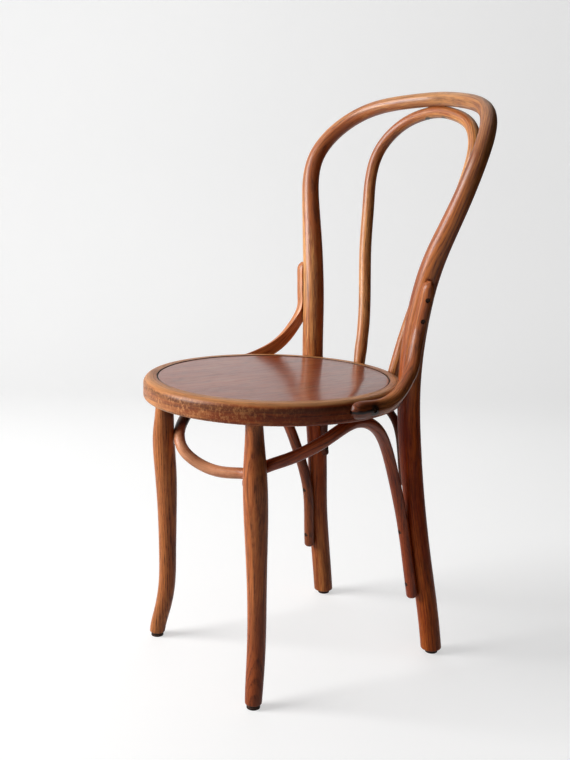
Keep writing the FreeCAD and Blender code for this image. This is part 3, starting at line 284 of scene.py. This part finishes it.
def shifted(tree, place, shift):
    """A place moved along, so that two pieces don't show the same grain."""
    return add_node(tree, "Mapping", ("Vector", place), ("Location", shift)).outputs[0]


def stretched(tree, place, stretch, detail=2.0, roughness=0.5, warp=0.0):
    """Noise whose grains are drawn out: the stretch is grains to the metre along, across and deep."""
    drawn = add_node(tree, "VectorMath", (0, place), (1, stretch), operation="MULTIPLY")
    return add_node(tree, "TexNoise", ("Vector", drawn.outputs[0]), ("Scale", 1.0), ("Detail", detail),
                    ("Roughness", roughness), ("Distortion", warp)).outputs["Fac"]


def ramp(tree, value, low, high, bottom=0.0, top=1.0):
    """A value brought from one range to another, with its ends cut off and eased."""
    return add_node(tree, "MapRange", (0, value), (1, low), (2, high), (3, bottom), (4, top),
                    interpolation_type="SMOOTHSTEP").outputs[0]


def fade(tree, value, low, high):
    """One below the range, nothing above it."""
    return ramp(tree, value, low, high, 1.0, 0.0)


def blended(tree, share, first, second, way="MIX"):
    """Two colours mixed by a share."""
    return add_node(tree, "MixRGB", (0, share), (1, first), (2, second), blend_type=way).outputs[0]


def tinted(tree, share, colour, tint):
    """A colour seen through a tint, by a share."""
    return blended(tree, share, colour, tint, "MULTIPLY")


def start_group(name, takes, gives):
    """An empty node group with its named inputs and outputs."""
    group = bpy.data.node_groups.new(name, "ShaderNodeTree")
    for label, kind, value in takes:
        socket = group.interface.new_socket(name=label, in_out="INPUT", socket_type="NodeSocket" + kind)
        socket.default_value = value
    for label, kind in gives:
        group.interface.new_socket(name=label, in_out="OUTPUT", socket_type="NodeSocket" + kind)
    return group, group.nodes.new("NodeGroupInput").outputs, group.nodes.new("NodeGroupOutput").inputs


def add_group(tree, group, **feeds):
    """A shared node group placed in a material with its own values."""
    return add_node(tree, "Group", *feeds.items(), node_tree=group)


grain_group, takes, gives = start_group("open grain", (
    ("Place", "Vector", (0, 0, 0)), ("Honey", "Color", stain(200, 132, 76)),
    ("Chestnut", "Color", stain(158, 86, 44)), ("Char", "Color", stain(66, 26, 12)),
    ("Rings", "Float", 170.0), ("Figure", "Float", 1.4), ("Pores", "Float", 0.7), ("Lines", "Float", 0.4)), (
    ("Color", "Color"), ("Roughness", "Float"), ("Height", "Float")))
place, char = takes["Place"], takes["Char"]
wander = stretched(grain_group, place, (2.4, 20, 20), 2.0, 0.45)
_, breadth, deepness = parts_of(grain_group, place)
tilted = maths(grain_group, "ADD", breadth, times(grain_group, deepness, 0.45))
turns = maths(grain_group, "ADD", times(grain_group, tilted, takes["Rings"]),
              times(grain_group, wander, takes["Figure"]))
year = maths(grain_group, "FRACT", turns)
early_wood = times(grain_group, ramp(grain_group, year, 0.0, 0.14), fade(grain_group, year, 0.2, 0.62))
fibre = stretched(grain_group, place, (30, 560, 560), 3.0, 0.6)
pore_noise = stretched(grain_group, place, (60, 680, 680), 2.0, 0.6)
pores = times(grain_group, ramp(grain_group, pore_noise, 0.5, 0.62),
              maths(grain_group, "MULTIPLY_ADD", early_wood, 0.8, 0.2), takes["Pores"])
broad = stretched(grain_group, place, (3.2, 30, 30), 3.0, 0.55, 0.4)
tone = ramp(grain_group, maths(grain_group, "ADD", broad, times(grain_group, fibre, 0.6)), 0.6, 1.0)
body = blended(grain_group, tone, takes["Chestnut"], takes["Honey"])
lined = blended(grain_group, times(grain_group, early_wood, takes["Lines"]), body, char)
streak_noise = stretched(grain_group, place, (9, 330, 330), 3.0, 0.65)
streaked = blended(grain_group, ramp(grain_group, streak_noise, 0.52, 0.72, 0.0, 0.45), lined, char)
pored = blended(grain_group, times(grain_group, pores, 0.75), streaked, char)
grain_group.links.new(pored, gives["Color"])
gloss = maths(grain_group, "ADD", ramp(grain_group, fibre, 0.3, 0.7, 0.32, 0.46),
              times(grain_group, pores, 0.25))
grain_group.links.new(gloss, gives["Roughness"])
depth = maths(grain_group, "SUBTRACT", times(grain_group, fibre, 0.3),
              maths(grain_group, "ADD", pores, times(grain_group, early_wood, 0.15)))
grain_group.links.new(depth, gives["Height"])

wear_group, takes, gives = start_group("wear and grime", (
    ("Place", "Vector", (0, 0, 0)), ("Color", "Color", stain(158, 86, 44)),
    ("Rub", "Color", stain(222, 176, 128)), ("Speckle", "Float", 0.2), ("Grime", "Float", 0.4)), (
    ("Color", "Color"), ("Roughness", "Float"), ("Height", "Float")))
place = takes["Place"]
patch = ramp(wear_group, stretched(wear_group, place, (16, 40, 40), 3.0, 0.6), 0.42, 0.66)
flecks = ramp(wear_group, stretched(wear_group, place, (230, 420, 420), 3.0, 0.65, 0.6), 0.60, 0.70)
rubbed = times(wear_group, patch, flecks, takes["Speckle"])
dirt = ramp(wear_group, stretched(wear_group, place, (11, 30, 30), 4.0, 0.65, 0.5), 0.50, 0.78)
dirt = times(wear_group, dirt, takes["Grime"])
grimy = blended(wear_group, dirt, takes["Color"], stain(48, 22, 14))
wear_group.links.new(blended(wear_group, rubbed, grimy, takes["Rub"]), gives["Color"])
wear_group.links.new(maths(wear_group, "ADD", times(wear_group, rubbed, 0.3),
                           times(wear_group, dirt, 0.22)), gives["Roughness"])
wear_group.links.new(times(wear_group, rubbed, -0.6), gives["Height"])


def start_finish(name, coat, coat_roughness, shine=0.22):
    """A new material with its shader's plain numbers set."""
    finish = bpy.data.materials.new(name)
    finish.use_nodes = True
    shader = finish.node_tree.nodes["Principled BSDF"]
    shader.inputs["Coat Weight"].default_value = coat
    shader.inputs["Coat Roughness"].default_value = coat_roughness
    shader.inputs["IOR"].default_value = 1.5
    shader.inputs["Specular IOR Level"].default_value = shine
    return finish, finish.node_tree, shader


def add_relief(tree, shader, strength, depth, height):
    """Raises and sinks the surface by a height. The depth is in metres."""
    relief = add_node(tree, "Bump", ("Strength", strength), ("Distance", depth), ("Height", height))
    tree.links.new(relief.outputs[0], shader.inputs["Normal"])


def varnish(tree, shader, place, honey, chestnut, char, rings=250.0, figure=6.0, pores=0.7,
            lines=0.4, speckle=0.25, grime=0.4, bump=0.35, change=None):
    """Grained and worn wood under varnish. A change takes the colour and gives back another."""
    pore_depth = 0.0004
    grain = add_group(tree, grain_group, Place=place, Honey=honey, Chestnut=chestnut, Char=char,
                      Rings=rings, Figure=figure, Pores=pores, Lines=lines).outputs
    wear = add_group(tree, wear_group, Place=place, Color=grain["Color"], Speckle=speckle,
                     Grime=grime).outputs
    colour = change(wear["Color"], tree) if change else wear["Color"]
    tree.links.new(colour, shader.inputs["Base Color"])
    tree.links.new(maths(tree, "ADD", grain["Roughness"], wear["Roughness"]), shader.inputs["Roughness"])
    add_relief(tree, shader, bump, pore_depth, maths(tree, "ADD", grain["Height"], wear["Height"]))


def rod_varnish(name, shift, coat=0.3, shine=0.14, dull_feet=False, **values):
    """The varnish for a bent rod, whose grain follows the rod."""
    finish, tree, shader = start_finish(name, coat, coat_roughness=0.34, shine=shine)
    if dull_feet:
        height = parts_of(tree, here(tree))[2]
        tree.links.new(ramp(tree, height, 0.36, 0.56, 0.04, coat), shader.inputs["Coat Weight"])
    varnish(tree, shader, shifted(tree, along_rod(tree), shift), **values)
    return finish


def hoop_tones(colour, tree):
    """The right post is redder than the left one and the right rear leg darker. The arch and the left rear
    leg, most at its top, are darkened with painted shade.

    Each range is in metres along the rod, from the right foot."""
    right_foot_ends, right_leg_ends, right_post_ends = (0.15, 0.38), (0.5, 0.68), (0.86, 1.1)
    arch_starts, arch_ends = (0.85, 1.0), (1.26, 1.42)
    left_leg_starts, left_foot_starts = (1.8, 1.95), (2.0, 2.2)
    run = parts_of(tree, along_rod(tree))[0]
    uneven = maths(tree, "ADD", run, times(tree, stretched(tree, here(tree), (6, 6, 6), 3.0), 0.25))
    redder = tinted(tree, fade(tree, uneven, *right_post_ends), colour, stain(208, 166, 132))
    # Painted shade on the arch.
    arch = times(tree, ramp(tree, uneven, *arch_starts), fade(tree, uneven, *arch_ends))
    arch_shaded = tinted(tree, arch, redder, stain(212, 202, 200))
    right_share = times(tree, fade(tree, uneven, *right_leg_ends),
                        ramp(tree, uneven, *right_foot_ends, 0.45, 1.0))
    right_leg = tinted(tree, right_share, arch_shaded, stain(255, 204, 116))
    # Painted shade on the left rear leg, strongest at its top under the seat.
    left_leg_shade_share = times(tree, ramp(tree, uneven, *left_leg_starts),
                       ramp(tree, uneven, *left_foot_starts, 1.0, 0.62))
    return tinted(tree, left_leg_shade_share, right_leg, stain(190, 124, 98))


back_hoop = own_copy("back_hoop")
run_grain(back_hoop, both_halves([
    (148.5, 229, 0), (144.9, 215.4, 90), (138, 200.6, 180), (129.6, 190, 270), (126, 178.8, 360),
    (127, 171, 446.5), (135, 174.5, 560), (154.8, 183.5, 650), (181, 196.4, 720), (200, 220, 803),
    (155, 276.5, 875), (73, 302.4, 895.5)], (0, 316, 900)))
back_hoop.data.materials.append(rod_varnish(
    "hoop varnish", (0.0, 0.031, 0.017), coat=0.8, dull_feet=True, honey=stain(240, 174, 102),
    chestnut=stain(172, 92, 42), char=stain(82, 31, 12), rings=230.0, figure=8.0, lines=0.26,
    speckle=0.3, grime=0.4, bump=0.6, change=hoop_tones))

# The inner hoop. A thinner bent rod goes up behind the seat, round under the arch and down again. Its
# feet are screwed to the back of the ring and its crown to the back hoop.


def crown_marks(colour, tree):
    """Dark polish round the two screws under the crown."""
    right_screw, mark_edge = (0.0200, 0.2583, 0.8706), (0.0078, 0.0108)
    x, y, z = parts_of(tree, here(tree))
    either_side = add_node(tree, "CombineXYZ", (0, maths(tree, "ABSOLUTE", x)), (1, y), (2, z)).outputs[0]
    from_screw = add_node(tree, "VectorMath", (0, either_side), (1, right_screw),
                          operation="DISTANCE").outputs["Value"]
    return blended(tree, ramp(tree, from_screw, *mark_edge, 0.9, 0.0), colour, stain(30, 14, 8))


inner_hoop = own_copy("inner_hoop")
run_grain(inner_hoop, both_halves([
    (41.7, 204.2, 425), (44.6, 207.6, 446.5), (54.2, 222.5, 520), (70.5, 235.4, 590), (89, 248.8, 660),
    (106.5, 265.8, 720), (116.3, 276.7, 766.2), (114.6, 293.7, 817), (83, 313.1, 858),
    (41.8, 318.9, 874.3)], (0, 321.1, 879.7)))
inner_hoop.data.materials.append(rod_varnish(
    "inner hoop varnish", (0.7, 0.052, 0.043), coat=0.8, honey=stain(236, 168, 98),
    chestnut=stain(170, 92, 44), char=stain(78, 30, 12), rings=260.0, figure=6.0, lines=0.22,
    bump=0.6, speckle=0.12, grime=0.3, change=crown_marks))

# The seat ring. A square strip is bent into a round frame, glued at a scarf, and rounded at its rim.
# Its varnish is rubbed through along the rim and chipped into pale flecks round the side. A highlight is
# painted along the rim, and shade down the side.
dirt_in_joint = stain(40, 20, 14)


def seat_parts(tree):
    """A point's three parts from the floor under the seat's middle, and its reach from the middle."""
    x, y, z = parts_of(tree, shifted(tree, here(tree), (0, seat_forward, 0)))
    reach = maths(tree, "SQRT", maths(tree, "ADD", times(tree, x, x), times(tree, y, y)))
    return x, y, z, reach


joint_radius, joint_edge, joint_heights = 0.1811, (0.0006, 0.0017), (0.452, 0.456)
joint_group, takes, gives = start_group("joint line", (
    ("Reach", "Float", 0.1), ("Height", "Float", 0.0)), (("Line", "Float"),))
off_line = maths(joint_group, "ABSOLUTE", maths(joint_group, "SUBTRACT", takes["Reach"], joint_radius))
line_share = times(joint_group, fade(joint_group, off_line, *joint_edge),
                   ramp(joint_group, takes["Height"], *joint_heights))
joint_group.links.new(line_share, gives["Line"])

side_radius = 0.19
ring_finish, ring_tree, ring_shader = start_finish("ring varnish", 0.32, 0.34, 0.1)
ring_x, ring_y, ring_height, ring_reach = seat_parts(ring_tree)
bearing = maths(ring_tree, "ARCTAN2", ring_x, times(ring_tree, ring_y, -1.0))
round_place = add_node(ring_tree, "CombineXYZ", (0, times(ring_tree, bearing, side_radius)),
                       (1, ring_reach), (2, ring_height)).outputs[0]


def ring_marks(colour, tree):
    """Gold along the rim, partly rubbed and partly a painted highlight, painted shade and pale chips down
    the side, and dark at the panel's joint.

    Each range is in metres, from the seat's axis or from the floor."""
    rim_reach, rim_heights = (0.183, 0.197), (0.4570, 0.4620)
    side_reach, side_starts, foot_edge_heights = (0.1965, 0.2003), (0.4622, 0.4570), (0.4268, 0.4292)
    shade_starts, shade_ends = (0.4475, 0.4515), (0.4550, 0.4575)
    # Painted shade: the side darkens towards the right in patches, and more under the rim.
    side = times(tree, ramp(tree, ring_reach, *side_reach), ramp(tree, ring_height, *side_starts))
    patches = times(tree, stretched(tree, round_place, (16, 40, 40), 3.0, 0.6), 0.9)
    side_shade_share = ramp(tree, maths(tree, "ADD", patches, times(tree, bearing, 0.42)), 0.30, 0.92)
    dark_side = tinted(tree, times(tree, side, side_shade_share), colour, stain(192, 126, 82))
    under_rim = times(tree, ramp(tree, ring_height, *shade_starts), fade(tree, ring_height, *shade_ends))
    shade_share = ramp(tree, maths(tree, "ADD", bearing, patches), -0.1, 0.6, 0.0, 0.7)
    shaded = blended(tree, times(tree, side, under_rim, shade_share), dark_side, stain(74, 34, 18))
    chips = ramp(tree, stretched(tree, round_place, (250, 230, 160), 5.0, 0.75), 0.47, 0.63)
    crowding = ramp(tree, stretched(tree, round_place, (26, 50, 50), 3.0, 0.6), 0.32, 0.55, 0.3, 1.0)
    chipped = times(tree, chips, crowding, ramp(tree, bearing, 0.1, 1.3, 1.0, 0.2))
    foot_edge = times(tree, fade(tree, ring_height, *foot_edge_heights),
                      ramp(tree, bearing, 0.5, 1.1, 0.8, 0.25))
    bare = times(tree, maths(tree, "MAXIMUM", chipped, foot_edge), side, 0.75)
    chippy = blended(tree, bare, shaded, stain(208, 142, 86))
    # The rim's gold is partly rubbed varnish and partly a painted highlight.
    rim = times(tree, ramp(tree, ring_reach, *rim_reach), ramp(tree, ring_height, *rim_heights))
    uneven = ramp(tree, stretched(tree, round_place, (14, 60, 60), 3.0, 0.6), 0.35, 0.6, 0.1, 0.6)
    rubbed_and_lit_rim = blended(tree, times(tree, rim, uneven), chippy, stain(200, 138, 84))
    line = add_group(tree, joint_group, Reach=ring_reach, Height=ring_height).outputs["Line"]
    return blended(tree, times(tree, line, 0.9), rubbed_and_lit_rim, dirt_in_joint)


varnish(ring_tree, ring_shader, round_place, stain(208, 142, 84), stain(156, 88, 44), stain(62, 27, 12),
        rings=250.0, figure=5.0, pores=0.85, lines=0.3, speckle=0.6, grime=0.5, bump=0.5,
        change=ring_marks)
seat_ring = own_copy("seat_ring")
seat_ring.data.materials.append(ring_finish)

# The seat panel. A round of plywood is let into the ring from above and glued. Its red brown face is
# polished, so it mirrors the posts, and its grain runs from the front of the seat to the back.
panel_finish, panel_tree, panel_shader = start_finish("panel polish", 0.8, 0.2, 0.1)
panel_x, panel_y, panel_height, panel_reach = seat_parts(panel_tree)
panel_place = add_node(panel_tree, "CombineXYZ", (0, panel_y), (1, panel_x), (2, panel_height)).outputs[0]


def panel_marks(colour, tree):
    """Worn pale and dusky patches, and polish and dirt in the joint with the ring."""
    worn = ramp(tree, stretched(tree, panel_place, (16, 26, 26), 5.0, 0.68, 0.4), 0.4, 0.68)
    pale = blended(tree, times(tree, worn, 0.24), colour, stain(176, 120, 92))
    dusky = ramp(tree, stretched(tree, panel_place, (24, 40, 24), 5.0, 0.7, 0.6), 0.5, 0.72)
    mottled = blended(tree, times(tree, dusky, 0.5), pale, stain(84, 38, 22))
    line = add_group(tree, joint_group, Reach=panel_reach, Height=panel_height).outputs["Line"]
    return blended(tree, times(tree, line, 0.9), mottled, dirt_in_joint)


varnish(panel_tree, panel_shader, panel_place, stain(160, 76, 36), stain(136, 56, 24), stain(104, 42, 18),
        rings=60.0, figure=3.5, pores=0.4, lines=0.2, speckle=0.05, grime=0.3, bump=0.12,
        change=panel_marks)
seat_panel = own_copy("seat_panel")
seat_panel.data.materials.append(panel_finish)

# The front legs. Each is turned, swollen below the brace, and bent a little outwards at the foot, and
# its tenon is glued and screwed into the ring. The face shows the long pointed figure of the grain.


def leg_tones(colour, tree, foot_share, middle, shade_share):
    """Redder towards the foot, where shoes have stained it, and darkened at the top of its right side with
    painted shade under the ring.

    The middle is where the leg's own middle lies along the line that crosses it to that side."""
    to_right, foot_heights, top_heights = (0.578, 0.816, 0), (0.13, 0.3), (0.405, 0.485)
    spot = here(tree)
    low = maths(tree, "ADD", parts_of(tree, spot)[2],
                times(tree, stretched(tree, spot, (14, 14, 6), 3.0), 0.16))
    stained = tinted(tree, ramp(tree, low, *foot_heights, foot_share, 0.0), colour, stain(196, 158, 140))
    over = add_node(tree, "VectorMath", (0, spot), (1, to_right), operation="DOT_PRODUCT").outputs["Value"]
    # Painted shade under the ring, on the top of the leg's right side.
    shaded = times(tree, ramp(tree, low, *top_heights), ramp(tree, over, middle - 0.005, middle + 0.006))
    return tinted(tree, times(tree, shaded, shade_share), stained, stain(64, 36, 26))


for side, shift, turn, honey, chestnut, rings, figure, pores, grime, tones in (
        ("left", (0.15, 0.021, 0.008), 0, stain(200, 122, 64), stain(158, 81, 38), 240.0, 8.0, 1.0, 0.35,
         (0.1, -0.2335, 0.9)),
        ("right", (0.62, 0.043, -0.006), 45, stain(200, 116, 62), stain(154, 72, 33), 150.0, 4.5, 0.75, 0.2,
         (0.8, -0.0765, 0.4))):
    leg_finish, leg_tree, leg_shader = start_finish("leg varnish " + side, 0.35, 0.36, 0.08)
    turned = add_node(leg_tree, "Mapping", ("Vector", here(leg_tree)),
                      ("Rotation", (0, 0, math.radians(turn))))
    leg_x, leg_y, leg_height = parts_of(leg_tree, turned.outputs[0])
    leg_place = add_node(leg_tree, "CombineXYZ", (0, leg_height), (1, leg_x), (2, leg_y)).outputs[0]
    varnish(leg_tree, leg_shader, shifted(leg_tree, leg_place, shift), honey, chestnut, stain(54, 19, 8),
            rings=rings, figure=figure, pores=pores, lines=0.3, speckle=0.15, grime=grime,
            change=lambda colour, tree: leg_tones(colour, tree, *tones))
    leg = own_copy("front_leg_" + side)
    leg.data.materials.append(leg_finish)

# The leg brace. One long rod, screwed inside each rear leg, bends up under the ring, is screwed to it
# on both sides, and runs down and round inside the front legs.


def brace_tones(colour, tree):
    """The front left run is a patchy pale tan, as a painted highlight, the left crown is darkened with
    painted shade, and both drops are dull.

    Each range is in metres, to the right, to the back or upwards."""
    left_ends, front_ends = (-0.03, 0.03), (-0.09, -0.05)
    left_crown_starts, crown_heights = (-0.11, -0.13), (0.347, 0.366)
    back_starts, drop_ends, right_starts = (0.0, 0.05), (0.3, 0.36), (-0.02, 0.02)
    spot = here(tree)
    x, y, z = parts_of(tree, spot)
    # Painted highlight: the front left run is lightened in patches.
    front_left = times(tree, fade(tree, x, *left_ends), fade(tree, y, *front_ends))
    worn = ramp(tree, stretched(tree, spot, (36, 36, 60), 4.0, 0.7), 0.36, 0.6, 0.35, 0.7)
    pale = blended(tree, times(tree, front_left, worn), colour, stain(226, 164, 122))
    drop_tone = blended(tree, ramp(tree, x, *right_starts), stain(186, 190, 168), stain(226, 204, 186))
    drop = times(tree, fade(tree, z, *drop_ends), ramp(tree, y, *back_starts))
    dull = tinted(tree, drop, pale, drop_tone)
    # Painted shade under the ring on the left crown.
    left_crown_shade = times(tree, ramp(tree, z, *crown_heights), ramp(tree, x, *left_crown_starts), 0.94)
    return tinted(tree, left_crown_shade, dull, stain(54, 30, 22))


rim_radius = 203
brace_right = [(126, 202, 106), (125, 196, 160), (121, 176, 220)]
for inset, turn, height in ((6.7, 46.9, 303.7), (19.6, 39.1, 364), (26, 25.5, 405.5), (27.5, 8, 421.3),
                            (25.3, -9, 402), (39, -28.5, 371), (56.5, -46.9, 338), (91.7, -51, 312),
                            (135.9, -63.4, 305.8)):
    reach_out, angle = rim_radius - inset, math.radians(turn)
    brace_right.append((reach_out * math.cos(angle), reach_out * math.sin(angle), height))
leg_brace = own_copy("leg_brace")
run_grain(leg_brace, both_halves(brace_right, (0, -45, 308.5)))
leg_brace.data.materials.append(rod_varnish(
    "brace varnish", (1.3, 0.011, 0.029), coat=0.5, shine=0.1, honey=stain(200, 98, 43),
    chestnut=stain(150, 59, 23), char=stain(54, 16, 5), rings=280.0, figure=5.0, lines=0.3,
    speckle=0.15, grime=0.35, change=brace_tones))

# The rear bow. A thin rod is bent into an arch between the rear legs, screwed to each of them and to
# the underside of the ring.
rear_bow = own_copy("rear_bow")
run_grain(rear_bow, both_halves([
    (112, 184, 284), (106, 184, 325), (99.5, 184, 356), (85, 184, 387), (42, 183, 411)], (0, 182, 423)))
# The bow's stain is far darker than the other rods': painted shade, for its place under the seat.
rear_bow.data.materials.append(rod_varnish(
    "bow varnish", (2.1, 0.036, 0.012), coat=0.06, shine=0.14, honey=stain(112, 56, 30),
    chestnut=stain(80, 34, 17), char=stain(36, 13, 7), rings=300.0, figure=4.0, speckle=0.1, grime=0.5))

# The hip braces. Each is a half-round strip whose flat back lies against the post, where two sunk screws
# hold it, and which ends in a tongue screwed to the ring's side. The right tongue has split at its screw.
hip_right = [
    (162.6, 170.4, 618.6), (160.8, 169.1, 596), (156.5, 166.8, 572), (152.8, 164.7, 548),
    (157.3, 157.1, 524), (162.2, 151.5, 512), (167.3, 144.4, 500), (171.8, 135.2, 488),
    (176.6, 124.9, 476.2), (184.8, 107.2, 463.8), (191.6, 90.1, 453.8), (196.6, 72.4, 448),
    (201.8, 54.5, 446), (205.8, 36.5, 446.4), (208.4, 18.7, 447), (209, 1, 447.4), (208.6, -7.5, 447.2)]


def tongue_marks(colour, tree):
    """The right tongue is darkened towards its tip with painted shade, and has a black split and a burr at
    its screw.
    """
    split_height, split_edge, split_starts = 0.4486, (0.0013, 0.0030), (-0.028, -0.032)
    screw_place, burr_edge, tongue_starts = (0.2108, -0.0330, 0.4467), (0.0078, 0.0135), (-0.005, -0.035)
    spot = here(tree)
    _, y, z = parts_of(tree, spot)
    waver = times(tree, stretched(tree, along_rod(tree), (60, 0, 0), 2.0), 0.004)
    off = maths(tree, "ABSOLUTE", maths(tree, "SUBTRACT", maths(tree, "ADD", z, waver), split_height))
    split = times(tree, fade(tree, off, *split_edge), ramp(tree, y, *split_starts))
    from_screw = add_node(tree, "VectorMath", (0, spot), (1, screw_place), operation="DISTANCE")
    burr = fade(tree, maths(tree, "ADD", from_screw.outputs["Value"], waver), *burr_edge)
    # Painted shade on the tongue, darker towards its tip.
    tongue = tinted(tree, ramp(tree, y, *tongue_starts), colour, stain(172, 140, 124))
    black = times(tree, maths(tree, "MAXIMUM", split, burr), 0.93)
    return blended(tree, black, tongue, stain(20, 9, 6))


for side, mirror, shift, honey, chestnut, grime, marks in (
        ("left", -1, (1.9, 0.024, 0.038), stain(232, 158, 98), stain(192, 112, 62), 0.2, None),
        ("right", 1, (3.9, 0.024, 0.038), stain(208, 128, 68), stain(164, 84, 40), 0.35, tongue_marks)):
    hip = own_copy("hip_brace_" + side)
    run_grain(hip, [(mirror * x, y, z) for x, y, z in hip_right])
    hip_finish, hip_tree, hip_shader = start_finish("hip varnish " + side, 0.5, 0.27, 0.16)
    varnish(hip_tree, hip_shader, shifted(hip_tree, along_rod(hip_tree), shift), honey, chestnut,
            stain(60, 22, 10), rings=260.0, figure=5.0, lines=0.3, speckle=0.2, grime=grime, change=marks)
    hip.data.materials.append(hip_finish)

# The glides. A dark moulded disc under each foot keeps the wood off the floor. One nail, driven up
# through its middle, holds each.
glide_finish, glide_tree, glide_shader = start_finish("glide rubber", 0.0, 0.3)
scuff = stretched(glide_tree, here(glide_tree), (170, 170, 500), 4.0, 0.65)
glide_tree.links.new(blended(glide_tree, ramp(glide_tree, scuff, 0.45, 0.7), stain(46, 30, 24),
                             stain(84, 62, 50)), glide_shader.inputs["Base Color"])
glide_tree.links.new(ramp(glide_tree, scuff, 0.3, 0.7, 0.55, 0.85), glide_shader.inputs["Roughness"])
add_relief(glide_tree, glide_shader, 0.4, 0.0003, scuff)
for name in ("glide_front_left", "glide_front_right", "glide_rear_left", "glide_rear_right"):
    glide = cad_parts[name]
    glide.data.materials.clear()
    glide.data.materials.append(glide_finish)

# The screws, washers and nails. All are plain steel, blackened with age and dirt, with slotted heads
# sunk into the wood.
steel_finish, steel_tree, steel_shader = start_finish("old steel", 0.0, 0.3)
tarnish = stretched(steel_tree, here(steel_tree), (420, 420, 420), 4.0, 0.65)
steel_tree.links.new(blended(steel_tree, ramp(steel_tree, tarnish, 0.42, 0.66), stain(58, 44, 36),
                             stain(96, 58, 36)), steel_shader.inputs["Base Color"])
steel_tree.links.new(ramp(steel_tree, tarnish, 0.4, 0.62, 0.75, 0.25), steel_shader.inputs["Metallic"])
steel_tree.links.new(ramp(steel_tree, tarnish, 0.3, 0.7, 0.42, 0.8), steel_shader.inputs["Roughness"])
add_relief(steel_tree, steel_shader, 0.4, 0.0002, tarnish)
for name in ("hip_post_screws", "hip_ring_screws", "leg_brace_screws", "front_leg_brace_screws",
             "ring_brace_screws", "rear_bow_screws", "rear_bow_ring_screw", "inner_hoop_foot_screws",
             "inner_hoop_top_screws", "leg_screws", "post_screws", "post_washers", "glide_nails"):
    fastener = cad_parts[name]
    fastener.data.materials.clear()
    fastener.data.materials.append(steel_finish)
